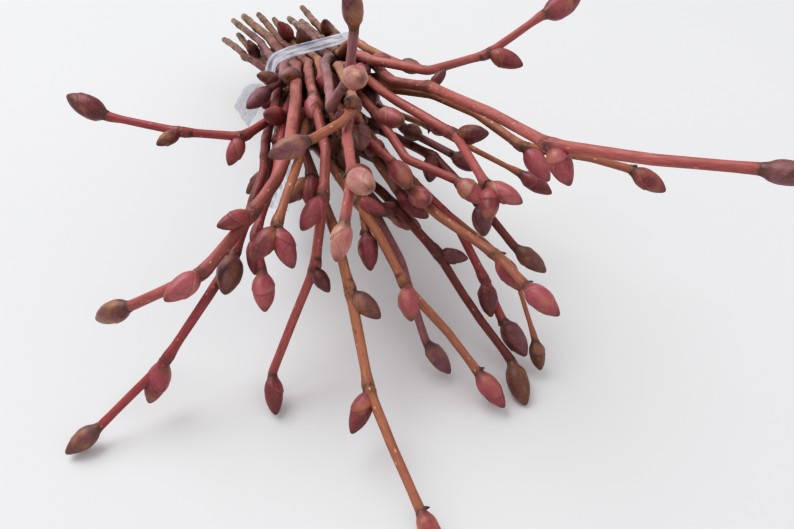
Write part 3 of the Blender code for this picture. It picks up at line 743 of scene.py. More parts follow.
def bare_nodes(number, first_bud, across, over, along):
    """Nodes without a bud, from near the cut end to the first bud: where each is and which way it faces."""
    found = []
    place = 5.0 + 4.0 * math.sin(2.3 * number) ** 2
    while place < first_bud - 5.0:
        at = int(np.searchsorted(along, place))
        turn = 2.4 * len(found) + 1.3 * number
        found.append((place, math.cos(turn) * across[at] + math.sin(turn) * over[at], BARE_STRENGTH))
        place += BARE_NODE_PITCH + 3.0 * math.sin(3.7 * number + place)
    return found


def stem_pieces(number, line, radius, foot, foot_radius, age_and_shade, buds):
    """The stem of one twig: a tube whose radius is

    taper x slow wobble + a cushion, two fine rings and a dip for the scar at each node + a flare below the
    end bud,

    cut a little aslant at its lower end. age says how much dark old bark it shows, painted shade for the
    twigs that lie in the lower rows of the tie, and buds holds (distance along, direction) of each side bud.
    """
    centre = smooth_line(line, STEM_STEP)
    along = lengths_along(centre)
    centre = centre[along <= foot + 0.5]
    along = lengths_along(centre)
    across, over = cross_directions(centre)
    turn = np.linspace(0, 2 * math.pi, STEM_SIDES, endpoint=False)
    size = np.interp(along, lengths_along(line), radius)
    size = np.where(along > foot - 1.5, np.interp(foot - 1.5, along, size), size)
    size = size * (1 + UNEVEN * wobble(along, number))
    size = size + (foot_radius - size[-1]) * soft_step(along, foot - FLARE_LENGTH, foot)
    lobes = np.sin(3 * turn[None] + wobble(along, number + 7)[:, None] * 3)
    grid = size[:, None] * (1 + OUT_OF_ROUND * lobes)
    node = np.zeros_like(grid)
    scar = np.zeros_like(grid)
    away = np.cos(turn)[None, :, None] * across[:, None] + np.sin(turn)[None, :, None] * over[:, None]
    nodes = [(place, unit(way), 1.0) for place, way in buds]
    nodes += bare_nodes(number, min([foot, *(place for place, _ in buds)]), across, over, along)
    for place, way, strength in nodes:
        facing = np.clip(away @ way, -1, 1)
        side = np.arccos(facing) * size[:, None]
        below = along[:, None] - place
        grid += strength * CUSHION * bump(below + 1.0, CUSHION_LENGTH) * bump(side, CUSHION_BREADTH)
        grid += strength * SWELLING * bump(below + 0.2, 1.7)
        for above, height, breadth in RIDGES:
            grid += strength * height * bump(below - above + 0.5 * side / (1 + side), breadth)
        node = np.maximum(node, (strength - 0.1) * bump(below + 0.2, 1.4))
        moon = ((below + 2.0 + 0.35 * side) / SCAR_LENGTH) ** 2 + (side / SCAR_BREADTH) ** 2
        scar = np.maximum(scar, (strength - 0.2) * (1 - soft_step(moon, 0.5, 1.5)))
    grid -= SCAR_DEPTH * scar
    grid += 0.05 * node * np.sin(5 * turn + 9 * along[:, None])
    node = np.maximum(node, 0.6 * bump(along[:, None] - foot, 0.8))
    rings = centre[:, None] + grid[..., None] * away
    grain = grain_of(grid, turn, along[:, None]) + np.array([0, 0, GRAIN_APART * number])
    start = unit(centre[1] - centre[0])
    tilt = start * (grid[0] * SLANT * math.sin(1.3 * number) * np.cos(turn + number))[:, None]
    fade = np.clip(1 - np.arange(len(rings)) / 4, 0, 1)[:, None, None]
    rings = rings + fade * tilt[None]
    middle = rings[0].mean(axis=0)
    crisp = np.stack([middle + 0.9 * (rings[0] - middle), rings[0], rings[0] + 0.12 * (rings[1] - rings[0])])
    again = np.concatenate([[0, 0], np.arange(len(rings))])
    marks = {"node": node[again], "scar": scar[again], "share": (along / along[-1])[again, None], "age_and_shade": age_and_shade}
    bark = round_piece(np.concatenate([crisp, rings[1:]]), grain[again], marks, 0)
    shares = np.concatenate([CUT_RINGS, [0.97]])
    face = middle + (rings[0] - middle)[None] * shares[:, None, None] - 0.06 * start
    face[-1] += 0.2 * start
    wood_grain = (face - middle) @ np.stack([across[0], over[0], start], axis=1)
    wood = round_piece(face, wood_grain, {"share": shares[:, None]}, 3)
    return [bark, wood]


# %% [markdown]
# ## Buds
#
# A winter bud is wrapped in a few tough scales. The lowest one is short and covers one side of the foot like
# a mitten, so its edge runs aslant around the bud. The next one comes round from behind and reaches nearly to
# the tip, and the innermost one only shows in the V between them. Each scale could be a leaf-shaped shell of
# its own. Here the bud is one skin, and each scale is a soft step in its height, which keeps it closed and
# costs one formula. How far every point is from the two edges is kept as two marks, so that the finish can
# draw the fine line of an edge sharper than the grid is.

# %% Bud surface
BUD_ROWS = 50
BUD_SIDES = 56
BUD_PROFILE = np.array([(0.0, 0.42), (0.06, 0.46), (0.13, 0.60), (0.22, 0.81), (0.34, 0.97), (0.45, 1.0),
                        (0.58, 0.96), (0.70, 0.85), (0.81, 0.67), (0.90, 0.46), (0.96, 0.28), (0.99, 0.14),
                        (1.0, 0.02)])
SCALE_STEP = 0.08  # thickness of a bud scale, in millimetres
EDGE_REACH = 2.0  # an edge mark of 0 or 1 is this far outside or inside the edge
OUTER_REACH = 0.62  # how far the short outer scale reaches along the bud, as a share
OUTER_SLANT = 0.50  # how much less it reaches on the other side
INNER_REACH = 0.97
INNER_SLANT = 0.52
EDGE_SOFTNESS = (-0.22, 0.18)  # millimetres over which the step at a scale's edge rises
LEAN = 0.16  # how far a bud leans to one side, as a share of its width


def scale_edge(share, turn, middle, reach, slant, length):
    """How far a point lies inside a scale, in millimetres along the bud: above zero inside, below outside.

    The edge is a slanted ring: it reaches highest at the middle of the scale and lowest on the other side.
    """
    return (reach - slant * (1 - np.cos(turn - middle)) / 2 - share) * length


def bud_piece(seed, tint, root, arm, foot_radius):
    """One bud from its root to its tip.

    radius = profile along the bud x (a bulge on the side of the short scale) + a soft step for every scale.
    """
    length = np.linalg.norm(arm)
    width = BUD_WIDTH * length * (1.0 + 0.06 * math.sin(seed * 5.1))
    share = 1 - (1 - np.linspace(0, 1, BUD_ROWS)) ** 1.35
    turn = np.linspace(0, 2 * math.pi, BUD_SIDES, endpoint=False)[None]
    middle = (seed * 2.399) % (2 * math.pi)
    smooth = smooth_line(BUD_PROFILE, 0.02)
    profile = np.interp(share, smooth[:, 0], smooth[:, 1]) * width
    profile = profile + max(foot_radius - profile[0], 0) * (1 - soft_step(share, 0.0, 0.45))
    profile = profile[:, None]
    share = share[:, None]
    reach = OUTER_REACH + 0.13 * math.sin(seed * 3.3)
    outer = scale_edge(share, turn, middle, reach, OUTER_SLANT, length)
    opposite = middle + math.pi + 0.3 * math.sin(seed)
    inner = scale_edge(share, turn, opposite, INNER_REACH, INNER_SLANT, length)
    grid = profile * (1 + 0.06 * np.cos(turn - middle) * bump(share - 0.42, 0.3))
    room = np.clip(profile / width * 1.5, 0, 1) * soft_step(share, 0.0, 0.3)
    over_inner = 2 * soft_step(outer, *EDGE_SOFTNESS)
    grid = grid + room * SCALE_STEP * np.maximum(over_inner, soft_step(inner, *EDGE_SOFTNESS))
    grid = grid + room * 0.05 * bump(outer - 0.3, 0.25)
    grid = grid + 0.012 * width * np.sin(7 * turn + 5 * math.sin(seed)) * np.sin(math.pi * share)
    collar = bump(share * length - 0.35, 0.4)
    grid = grid + collar * (0.04 + 0.03 * np.sin(5 * turn + seed) + 0.025 * np.sin(11 * turn + 3 * seed))
    ahead = unit(arm)
    across, over = directions_across(root, ahead)
    away = np.cos(turn[0])[:, None] * across + np.sin(turn[0])[:, None] * over
    lean = np.cos(middle) * across + np.sin(middle) * over
    axis = root + share * arm + LEAN * width * np.sin(math.pi * (share - 0.5)) * share * lean
    rings = axis[:, None] + grid[..., None] * away[None]
    grain = grain_of(grid, turn, share * length)
    marks = {"outer": 0.5 + 0.5 * np.clip(outer / EDGE_REACH, -1, 1),
             "inner": 0.5 + 0.5 * np.clip(inner / EDGE_REACH, -1, 1),
             "share": share, "tint": tint, "scar": soft_step(-share * length, -1.1, -0.3)}
    return round_piece(rings, grain + seed * 13.0, marks, 1)


# %% [markdown]
# ## Stubs
#
# At a node there is often a dry leftover: the tip of last year's shoot beside the end bud, or a withered
# stalk beside a side bud. They are only a millimetre or two long, so a small bent cone with a dozen sides is
# plenty.

# %% Stub surface
STUB_ROWS = 9
STUB_SIDES = 12


def stub_piece(seed, root, way, length, thickness):
    """A short dry stub: it narrows to half, has a ragged flat end, and bends a little."""
    share = np.linspace(0, 1, STUB_ROWS)
    turn = np.linspace(0, 2 * math.pi, STUB_SIDES, endpoint=False)
    ahead = unit(way)
    across, over = directions_across(root, ahead)
    away = np.cos(turn)[:, None] * across + np.sin(turn)[:, None] * over
    size = thickness * (1 - 0.5 * share) * (1 + 0.12 * np.sin(9 * share + seed))
    size[-1] *= 0.7
    axis = root + (share * length)[:, None] * ahead + (0.25 * length * share**2)[:, None] * across
    lobes = 1 + 0.12 * np.sin(3 * turn + seed)
    rings = axis[:, None] + size[:, None, None] * lobes[None, :, None] * away[None]
    rings[-1] += 0.12 * np.sin(2 * turn + seed)[:, None] * ahead
    return round_piece(rings, rings + seed, {"share": share[:, None]}, 2)

# %% [markdown]
# ## Bark
#
# Young bark is a thin smooth skin with a satin sheen. Its colour is never even: coral on the side that faces
# the window light and browner away from it, which is painted light and shade, darker towards the tie and on
# the lower rows, partly duller old bark and partly painted shade, greyer at the nodes, with small pale pores
# called lenticels. The pattern is laid in grain coordinates, which are millimetres along and across the stem,
# so every size is a real one.

# %% Bark material
# the way to the window light: bark that faces it is painted lighter, bark that faces away darker
LIGHTWARD = (-0.5, 0.2, 0.84)


def bark_material(name, lit_colour, shade_colour, aged, young, pores):
    """Smooth young bark: satin, with painted light and shade, redder at the tip, grey at the nodes, with
    raised pale pores.
    """
    material, tree = new_material(name)
    grain = add(tree, "Attribute", "Vector", attribute_name="grain")
    node, scar, share, age_and_shade = (add(tree, "Attribute", "Fac", attribute_name=mark)
                              for mark in ("node", "scar", "share", "age_and_shade"))
    normal = add(tree, "TexCoord", "Normal")
    facing = add(tree, "VectorMath", "Value", {0: normal, 1: LIGHTWARD}, operation="DOT_PRODUCT")

    # patches about 2 mm wide and 12 mm long, and painted light and shade: the lighter colour where the bark
    # faces the window light, the darker one where it faces away
    drawn_out = add(tree, "Mapping", "Vector", {"Vector": grain, "Scale": (0.45, 0.45, 0.085)})
    patch = add(tree, "TexNoise", "Fac", {"Vector": drawn_out, "Scale": 1.0, "Detail": 3.0})
    lit = add(tree, "Math", "Value", {0: facing, 1: 0.14, 2: patch}, operation="MULTIPLY_ADD")
    light_share = add(tree, "MapRange", "Result", {"Value": lit, "From Min": 0.40, "From Max": 0.64})
    colour = add(tree, "Mix", "Result", {"Factor": light_share, "A": shade_colour, "B": lit_colour}, data_type="RGBA")

    # the newest quarter has a colour of its own
    newest = add(tree, "MapRange", "Result", {"Value": share, "From Min": 0.62, "From Max": 0.97,
                                              "To Max": 0.75})
    colour = add(tree, "Mix", "Result", {"Factor": newest, "A": colour, "B": young}, data_type="RGBA")

    # fine streaks about 0.2 mm wide and 2 mm long, and a stem that is darker towards the tie, partly the
    # dullness of older bark and partly painted shade where the stems crowd together, so that a stem is
    # brightest near its tip
    drawn_out = add(tree, "Mapping", "Vector", {"Vector": grain, "Scale": (5.0, 5.0, 0.5)})
    streak = add(tree, "TexNoise", "Fac", {"Vector": drawn_out, "Scale": 1.0, "Detail": 4.0})
    uneven = add(tree, "MapRange", "Result", {"Value": streak, "From Min": 0.3, "From Max": 0.7,
                                              "To Min": 0.74, "To Max": 1.16})
    dullness_and_shade = add(tree, "MapRange", "Result", {"Value": share, "From Min": 0.2, "From Max": 0.75,
                                            "To Min": 0.64, "To Max": 1.1})
    value = add(tree, "Math", "Value", {0: uneven, 1: dullness_and_shade}, operation="MULTIPLY")
    colour = add(tree, "VectorMath", "Vector", {0: colour, "Scale": value}, operation="SCALE")

    # the oldest part, behind the tie, has lost its red
    oldest = add(tree, "MapRange", "Result", {"Value": share, "From Min": 0.26, "From Max": 0.12,
                                              "To Max": 0.65})
    colour = add(tree, "Mix", "Result", {"Factor": oldest, "A": colour, "B": "#A5815F"}, data_type="RGBA")

    # old bark in clouds of 3 mm, more of it towards the cut end, and more on the twigs in the lower rows as
    # painted shade for the rows that lie under the others
    bloom = add(tree, "TexNoise", "Fac", {"Vector": grain, "Scale": 0.32, "Detail": 5.0})
    lower = add(tree, "Math", "Value", {0: share, 1: -0.45, 2: bloom}, operation="MULTIPLY_ADD")
    older = add(tree, "Math", "Value", {0: age_and_shade, 1: 0.18, 2: lower}, operation="MULTIPLY_ADD")
    old = add(tree, "MapRange", "Result", {"Value": older, "From Min": 0.32, "From Max": 0.66,
                                           "To Max": 0.85})
    colour = add(tree, "Mix", "Result", {"Factor": old, "A": colour, "B": aged}, data_type="RGBA")

    # black specks of 0.5 mm sit on the old bark, and the swelling at a node is greyer, in flakes of 0.7 mm
    flake = add(tree, "TexNoise", "Fac", {"Vector": grain, "Scale": 1.4, "Detail": 4.0})
    speck = add(tree, "MapRange", "Result", {"Value": flake, "From Min": 0.52, "From Max": 0.64})
    specked = add(tree, "Math", "Value", {0: speck, 1: old}, operation="MULTIPLY")
    colour = add(tree, "Mix", "Result", {"Factor": specked, "A": colour, "B": "#30221C"}, data_type="RGBA")
    flaked = add(tree, "MapRange", "Result", {"Value": flake, "From Min": 0.42, "From Max": 0.6,
                                              "To Min": 0.25, "To Max": 0.9})
    noded = add(tree, "Math", "Value", {0: node, 1: flaked}, operation="MULTIPLY")
    colour = add(tree, "Mix", "Result", {"Factor": noded, "A": colour, "B": "#4A3C32"}, data_type="RGBA")

    # lenticels: one in each cell of about 1.5 mm by 2.4 mm, 0.35 mm across, a little longer than wide
    drawn_out = add(tree, "Mapping", "Vector", {"Vector": grain, "Scale": (0.68, 0.68, 0.42)})
    cell = add(tree, "TexVoronoi", "Distance", {"Vector": drawn_out, "Scale": 1.0})
    pore = add(tree, "MapRange", "Result", {"Value": cell, "From Min": 0.16, "From Max": 0.09,
                                            "To Max": pores})
    colour = add(tree, "Mix", "Result", {"Factor": pore, "A": colour, "B": "#D9B08C"}, data_type="RGBA")

    # leaf scars are dry and grey-brown
    colour = add(tree, "Mix", "Result", {"Factor": scar, "A": colour, "B": "#3F332D"}, data_type="RGBA")

    # the surface is duller on old bark, and streaks, pores and flakes stand out from it
    roughness = add(tree, "MapRange", "Result", {"Value": bloom, "From Min": 0.35, "From Max": 0.75,
                                                 "To Min": 0.34, "To Max": 0.6})
    height = add(tree, "Math", "Value", {0: pore, 1: 0.5, 2: streak}, operation="MULTIPLY_ADD")
    height = add(tree, "Math", "Value", {0: noded, 1: 1.5, 2: height}, operation="MULTIPLY_ADD")
    look = {"Base Color": colour, "Roughness": roughness, "Specular IOR Level": 0.4}
    surface(tree, look, height, 0.4, 0.12 * MM)
    return material


BARKS = {
    "coral": bark_material("satin_coral_bark", "#B26E65", "#7F4D43", "#5F453A", "#A05A58", 0.5),
    "red": bark_material("satin_crimson_bark", "#9E5451", "#70403A", "#4C342D", "#98484C", 0.4),
    "maroon": bark_material("satin_maroon_bark", "#864C45", "#623A33", "#3C2B26", "#723B39", 0.35),
    "tan": bark_material("satin_tan_bark", "#AA7858", "#7C5542", "#554236", "#A06856", 0.8),
    "mauve": bark_material("satin_mauve_bark", "#9C6C6C", "#704F4E", "#52413C", "#926266", 0.35),
}
print("bark finishes:", ", ".join(BARKS))

# %% [markdown]
# ## Bud scales
#
# A bud scale is tougher and waxier than bark. It is red where it faces the light, brown where it is dry, with
# fine veins that run from foot to tip, a dark line of painted shade along each overlap, and a grey-brown
# foot.
# Every bud has its own tint, so that no two are quite alike.

# %% Bud material
BUD_TINTS = ((0.0, "#BC8E7F"), (0.14, "#B0646A"), (0.34, "#94484F"), (0.54, "#683637"), (0.75, "#855763"),
             (1.0, "#754C3E"))
DRY_ENDS = ((0.08, 0.55), (0.26, 0.0), (0.86, 0.1), (1.0, 0.7))  # from foot to tip, how dry the scale is
PALE_RIM = ((0.5, 0.0), (0.53, 0.16), (0.60, 0.0))
# a dark line just outside a scale's edge: painted shade in the crease under the overlapping scale
CREASE_SHADE_LINE = ((0.42, 0.0), (0.49, 0.32), (0.515, 0.0))


def drawn_edge(tree, colour, edge):
    """An overlap: a pale rim 0.2 mm wide inside the scale's edge and a dark line 0.15 mm wide outside it,
    which is painted shade in the crease under that edge.

    The edge mark runs from 0 to 1 over 4 mm and is 0.5 on the edge.
    """
    for stops, tone in ((PALE_RIM, "#B08A68"), (CREASE_SHADE_LINE, "#421C1C")):
        share = add(tree, "ValToRGB", "Color", {"Fac": edge}, stops)
        colour = add(tree, "Mix", "Result", {"Factor": share, "A": colour, "B": tone}, data_type="RGBA")
    return colour


def bud_material():
    """Waxy bud scale: satin to glossy, veined lengthwise, a pale rim and a painted shade line at every
    overlap.
    """
    material, tree = new_material("waxy_bud_scale")
    grain = add(tree, "Attribute", "Vector", attribute_name="grain")
    share, scar, tint, outer, inner = (add(tree, "Attribute", "Fac", attribute_name=mark)
                                       for mark in ("share", "scar", "tint", "outer", "inner"))

    # the bud's own tint, clouded in patches of about 2.5 mm and a little redder on the outer scale
    cloud = add(tree, "TexNoise", "Fac", {"Vector": grain, "Scale": 0.4, "Detail": 4.0})
    clouded = add(tree, "Math", "Value", {0: cloud, 1: 0.34, 2: tint}, operation="MULTIPLY_ADD")
    covered = add(tree, "MapRange", "Result", {"Value": outer, "From Min": 0.48, "From Max": 0.52,
                                               "To Min": -0.15, "To Max": -0.22})
    centred = add(tree, "Math", "Value", {0: clouded, 1: covered}, operation="ADD")
    colour = add(tree, "ValToRGB", "Color", {"Fac": centred}, BUD_TINTS)

    # veins 0.15 mm wide that run the length of the scale
    drawn_out = add(tree, "Mapping", "Vector", {"Vector": grain, "Scale": (6.5, 6.5, 0.6)})
    vein = add(tree, "TexNoise", "Fac", {"Vector": drawn_out, "Scale": 1.0, "Detail": 3.0})
    veined = add(tree, "MapRange", "Result", {"Value": vein, "From Min": 0.3, "From Max": 0.7,
                                              "To Min": 0.8, "To Max": 1.12})
    colour = add(tree, "VectorMath", "Vector", {0: colour, "Scale": veined}, operation="SCALE")

    # an ochre flush 4 mm across on some scales, and a brown dry foot and tip
    flush = add(tree, "TexNoise", "Fac", {"Vector": grain, "Scale": 0.23, "Detail": 2.0})
    flushed = add(tree, "MapRange", "Result", {"Value": flush, "From Min": 0.52, "From Max": 0.68,
                                               "To Max": 0.55})
    colour = add(tree, "Mix", "Result", {"Factor": flushed, "A": colour, "B": "#AE8058"}, data_type="RGBA")
    dried = add(tree, "ValToRGB", "Color", {"Fac": share}, DRY_ENDS)
    colour = add(tree, "Mix", "Result", {"Factor": dried, "A": colour, "B": "#5A3B2E"}, data_type="RGBA")

    # pale dust in specks of 0.3 mm
    dust = add(tree, "TexNoise", "Fac", {"Vector": grain, "Scale": 2.4, "Detail": 6.0})
    dusty = add(tree, "MapRange", "Result", {"Value": dust, "From Min": 0.55, "From Max": 0.8,
                                             "To Max": 0.28})
    dusted = add(tree, "Mix", "Result", {"Factor": dusty, "A": colour, "B": "#B89A94"}, data_type="RGBA")

    # the inner scale's edge only shows where the outer scale doesn't cover it
    hidden = add(tree, "MapRange", "Result", {"Value": outer, "From Min": 0.48, "From Max": 0.51})
    bared = drawn_edge(tree, dusted, inner)
    bared = add(tree, "Mix", "Result", {"Factor": hidden, "A": bared, "B": dusted}, data_type="RGBA")
    colour = drawn_edge(tree, bared, outer)

    # grey-brown flakes on the foot
    flaked = add(tree, "MapRange", "Result", {"Value": dust, "From Min": 0.38, "From Max": 0.6,
                                              "To Min": 0.1, "To Max": 0.75})
    foot = add(tree, "Math", "Value", {0: scar, 1: flaked}, operation="MULTIPLY")
    colour = add(tree, "Mix", "Result", {"Factor": foot, "A": colour, "B": "#574235"}, data_type="RGBA")

    roughness = add(tree, "MapRange", "Result", {"Value": dust, "From Min": 0.3, "From Max": 0.75,
                                                 "To Min": 0.26, "To Max": 0.55})
    look = {"Base Color": colour, "Roughness": roughness, "Specular IOR Level": 0.5}
    surface(tree, look, vein, 0.3, 0.1 * MM)
    return material


BUD_SCALE = bud_material()
print("bud tints:", len(BUD_TINTS))


# %% Dry stubs and cut wood
def dry_stub_material():
    """Withered shoot: dull, dark grey-brown, with a fibrous roughness a tenth of a millimetre wide."""
    material, tree = new_material("withered_shoot")
    grain = add(tree, "Attribute", "Vector", attribute_name="grain")
    fibre = add(tree, "TexNoise", "Fac", {"Vector": grain, "Scale": 5.0, "Detail": 5.0})
    colour = add(tree, "ValToRGB", "Color", {"Fac": fibre}, ((0.0, "#33251F"), (1.0, "#85705F")))
    surface(tree, {"Base Color": colour, "Roughness": 0.85}, fibre, 0.6, 0.1 * MM)
    return material


def cut_wood_material():
    """Fresh cut wood: pale cream, a darker pith in the middle, a brown line of bast just inside the bark."""
    material, tree = new_material("fresh_cut_wood")
    grain = add(tree, "Attribute", "Vector", attribute_name="grain")
    share = add(tree, "Attribute", "Fac", attribute_name="share")
    rings = ((0.0, "#A98463"), (0.3, "#D8C19C"), (0.8, "#DCC9A8"), (1.0, "#77603F"))
    colour = add(tree, "ValToRGB", "Color", {"Fac": share}, rings)
    fibre = add(tree, "TexNoise", "Fac", {"Vector": grain, "Scale": 7.0, "Detail": 4.0})
    fleck = add(tree, "MapRange", "Result", {"Value": fibre, "From Min": 0.3, "From Max": 0.7,
                                             "To Min": 0.82, "To Max": 1.08})
    colour = add(tree, "VectorMath", "Vector", {0: colour, "Scale": fleck}, operation="SCALE")
    surface(tree, {"Base Color": colour, "Roughness": 0.8}, fibre, 0.4, 0.1 * MM)
    return material


STUB = dry_stub_material()
CUT_WOOD = cut_wood_material()
print("wood finishes:", STUB.name, CUT_WOOD.name)

# %% [markdown]
# ## Growing the twigs
#
# Everything is ready: each twig's line, its side buds and the finishes. A twig is grown as one object,
# because the real one is one piece, and it stands for the twig's solid in the frame.

# %% Grow each twig
# The tints that the buds of each bark may have, those of buds on the oldest wood, end buds with a tint of
# their own, and the twigs whose side buds are pale
TINTS = {"coral": (0.14, 0.26, 0.5, 0.36), "red": (0.34, 0.28, 0.5, 0.9), "maroon": (0.5, 0.58, 0.9, 0.62),
         "tan": (0.2, 0.34, 0.92, 0.4), "mauve": (0.76, 0.66, 0.9, 0.7)}
OLD_TINTS = (0.52, 0.94, 0.7, 0.36)
OLD_WOOD = 0.52  # the share of a stem that counts as oldest wood
OWN_TINTS = {1: 0.52, 2: 0.92, 3: 0.96, 4: 0.44, 5: 0.6, 6: 0.95, 7: 0.36, 9: 0.9, 10: 0.12, 11: 0.95,
             12: 0.12, 13: 0.3, 15: 0.42, 16: 0.2, 17: 1.0, 18: 0.66, 19: 1.0, 20: 0.26, 21: 0.75, 22: 0.34,
             23: 0.04, 24: 0.4, 25: 0.36, 26: 0.3, 27: 0.3, 28: 0.18, 29: 0.82, 30: 0.74, 31: 0.7, 32: 0.34,
             33: 0.92, 34: 0.96, 35: 0.3, 36: 0.84}
PALE_TINT = 0.02
PALE_TWIGS = (5, 23)
END_STUB = (1.25, 0.42)  # length and thickness of the dry stub beside an end bud, and beside a side bud
SIDE_STUB = (1.15, 0.4)


def side_buds_of(number, line):
    """Each side bud of a twig: where along the stem it sits, its root point and its arm."""
    along = lengths_along(line)
    return [(along[root], line[root], arm) for (owner, root, _), arm in zip(side_buds, arms)
            if owner == number]


def twig_name(number):
    return f"twig_{number + 1:02d}"


def grow(number, twig, line, radius):
    """One twig: stem, cut face, end bud, side buds and dry stubs, as one object."""
    bark, _, row, thickness, stem, _ = twig
    found = side_buds_of(number, line)
    tints = TINTS[bark]
    along = lengths_along(line)
    bud_length = math.dist(stem[-2], stem[-1])
    foot_radius = max(TIP_RADIUS * thickness, 0.44 * BUD_WIDTH * bud_length) * 1.08
    stem_end = along[-1] - bud_length
    age_and_shade = 1 - row / (ROWS - 1)  # painted shade: the lower its row, the more dark old bark it shows
    places = [(place, arm) for place, _, arm in found]
    pieces = stem_pieces(number, line, radius, stem_end, foot_radius, age_and_shade, places)
    foot = lerp_along([stem_end], along, line)[0]
    end_tint = OWN_TINTS.get(number + 1, tints[number % 4])
    pieces.append(bud_piece(number + 0.5, end_tint, foot, line[-1] - foot, foot_radius))
    ahead = unit(line[-1] - foot)
    across, over = directions_across(foot, ahead)
    beside = math.cos(number * 2.1) * across + math.sin(number * 2.1) * over
    if number % 2:
        pieces.append(stub_piece(number, foot + beside * 0.5 - ahead * 0.4, beside + ahead * 0.8, *END_STUB))
    for index, (place, root, arm) in enumerate(found):
        seed = number * 3.7 + index * 1.9 + 0.2
        choice = OLD_TINTS if place < OLD_WOOD * along[-1] else tints
        tint = PALE_TINT if number + 1 in PALE_TWIGS else choice[(number + index + 1) % 4]
        pieces.append(bud_piece(seed, tint, root, arm, 0.0))
        if (number + index) % 2 == 0:
            onward = unit(line[min(len(line) - 1, int(np.searchsorted(along, place)) + 3)] - root)
            sideways = unit(np.cross(onward, arm))
            pieces.append(stub_piece(seed, root + sideways * 0.7, sideways + 0.6 * onward, *SIDE_STUB))
    return make_object(f"{twig_name(number)}_grown", pieces, [BARKS[bark], BUD_SCALE, STUB, CUT_WOOD])


for number, twig in enumerate(TWIGS):
    grown = grow(number, twig, lines[number], radii[number])
    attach(grown, "root")
    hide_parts(twig_name(number))
print("faces on the last twig:", len(grown.data.polygons))

# %% [markdown]
# ## The film strip
#
# The tie is a strip of thin clear film, creased lengthwise because it was pulled tight, with its two ends
# sticking out of a small knot. It could be a flat band, but then it would look like tape. Folds make it
# film: the surface rises and falls in narrow ridges that run the length of the strip.

# %% Film surfaces
FILM_ROWS = 25
FILM_SKIN = 0.09  # what the strip is given as thickness
LOOP_STEPS = 240  # points of the band's outline
FOLD_HEIGHT = 0.34  # of the creases where the strip is tight
LOOSE_HEIGHT = 0.9  # and where it is loose
SLANTED_CUT = 2.0  # how much longer one side of a loose end is than its middle
KNOT_GRID = (40, 56)  # rings, and points in each


def film_outline():
    """The loop of a strip pulled tight around the stems, from the direction each stem reaches farthest in."""
    stems = np.array([slot_offset(twig[1], twig[2]) for twig in TWIGS])
    stem_radii = np.array([STEM_RADIUS * twig[3] for twig in TWIGS])
    turn = np.linspace(0, 2 * math.pi, LOOP_STEPS, endpoint=False)[:, None]
    way = ACROSS * np.cos(turn) + UP * np.sin(turn)
    outer = np.argmax(way @ stems.T + stem_radii, axis=1)
    return TIE_CENTRE + stems[outer] + way * (stem_radii[outer, None] + FILM_CLEARANCE), way


def folds(along, over, seed):
    """Height of the lengthwise creases: three waves across the strip that drift as they run along it."""
    drift = 0.6 * np.sin(along * 0.35 + seed) + 0.3 * np.sin(along * 0.9 + 2 * seed)
    wave = np.sin(over * 7.5 + drift * 2) + 0.6 * np.sin(over * 13 - drift * 3 + seed)
    return 0.5 + 0.3 * wave + 0.12 * np.sin(along * 2.3 + over * 4)


def open_sheet(name, grid, closed, finish):
    """A sheet from a grid of points, joined end to end if closed, made solid by a thin Solidify."""
    rows, columns = grid.shape[:2]
    row = np.arange(rows if closed else rows - 1)[:, None]
    column = np.arange(columns - 1)[None]
    after = (row + 1) % rows
    faces = np.stack([row * columns + column, after * columns + column, after * columns + column + 1,
                      row * columns + column + 1], axis=-1).reshape(-1, 4)
    mesh = bpy.data.meshes.new(name)
    mesh.from_pydata((grid.reshape(-1, 3) * MM).tolist(), [], faces.tolist())
    mesh.polygons.foreach_set("use_smooth", [True] * len(mesh.polygons))
    mesh.materials.append(finish)
    made = bpy.data.objects.new(name, mesh)
    bpy.context.scene.collection.objects.link(made)
    shell = made.modifiers.new("skin", "SOLIDIFY")
    shell.thickness = FILM_SKIN * MM
    shell.offset = 0.0
    return made


def band_grid():
    """The band: the outline, wider towards its back edge, moved outwards by the folds."""
    outline, way = film_outline()
    over = np.linspace(-1, 1, FILM_ROWS)[None, :, None]
    along = lengths_along(outline)[:, None, None]
    height = FOLD_HEIGHT * folds(along, over, 1.0)
    flare = FILM_FLARE * (1 - over) / 2
    width = FILM_WIDTH / 2 * (0.96 + 0.06 * np.sin(along * 0.5))
    return outline[:, None] + ALONG * over * width + way[:, None] * (0.06 + height + flare) + SHIFT


def tail_grid(centre, sides, seed):
    """A loose end: a ribbon along its centre line that widens as it leaves the knot, with a slanted cut."""
    line = smooth_line(rounded_line(centre), 0.35)
    across = unit(np.broadcast_to(sides, line.shape))
    ahead = unit(np.gradient(line, axis=0))
    face = unit(np.cross(ahead, across))
    over = np.linspace(-1, 1, FILM_ROWS)[None, :, None]
    share = np.linspace(0, 1, len(line))[:, None, None]
    half = FILM_WIDTH * (0.22 + 0.72 * soft_step(share, 0.0, 0.45))
    slant = ahead[-1] * over * SLANTED_CUT * soft_step(share, 0.75, 1.0)
    along = lengths_along(line)[:, None, None]
    height = LOOSE_HEIGHT * (folds(along * 0.8, over * 0.7, seed) - 0.5)
    return line[:, None] + across[:, None] * over * half + face[:, None] * height + slant + SHIFT


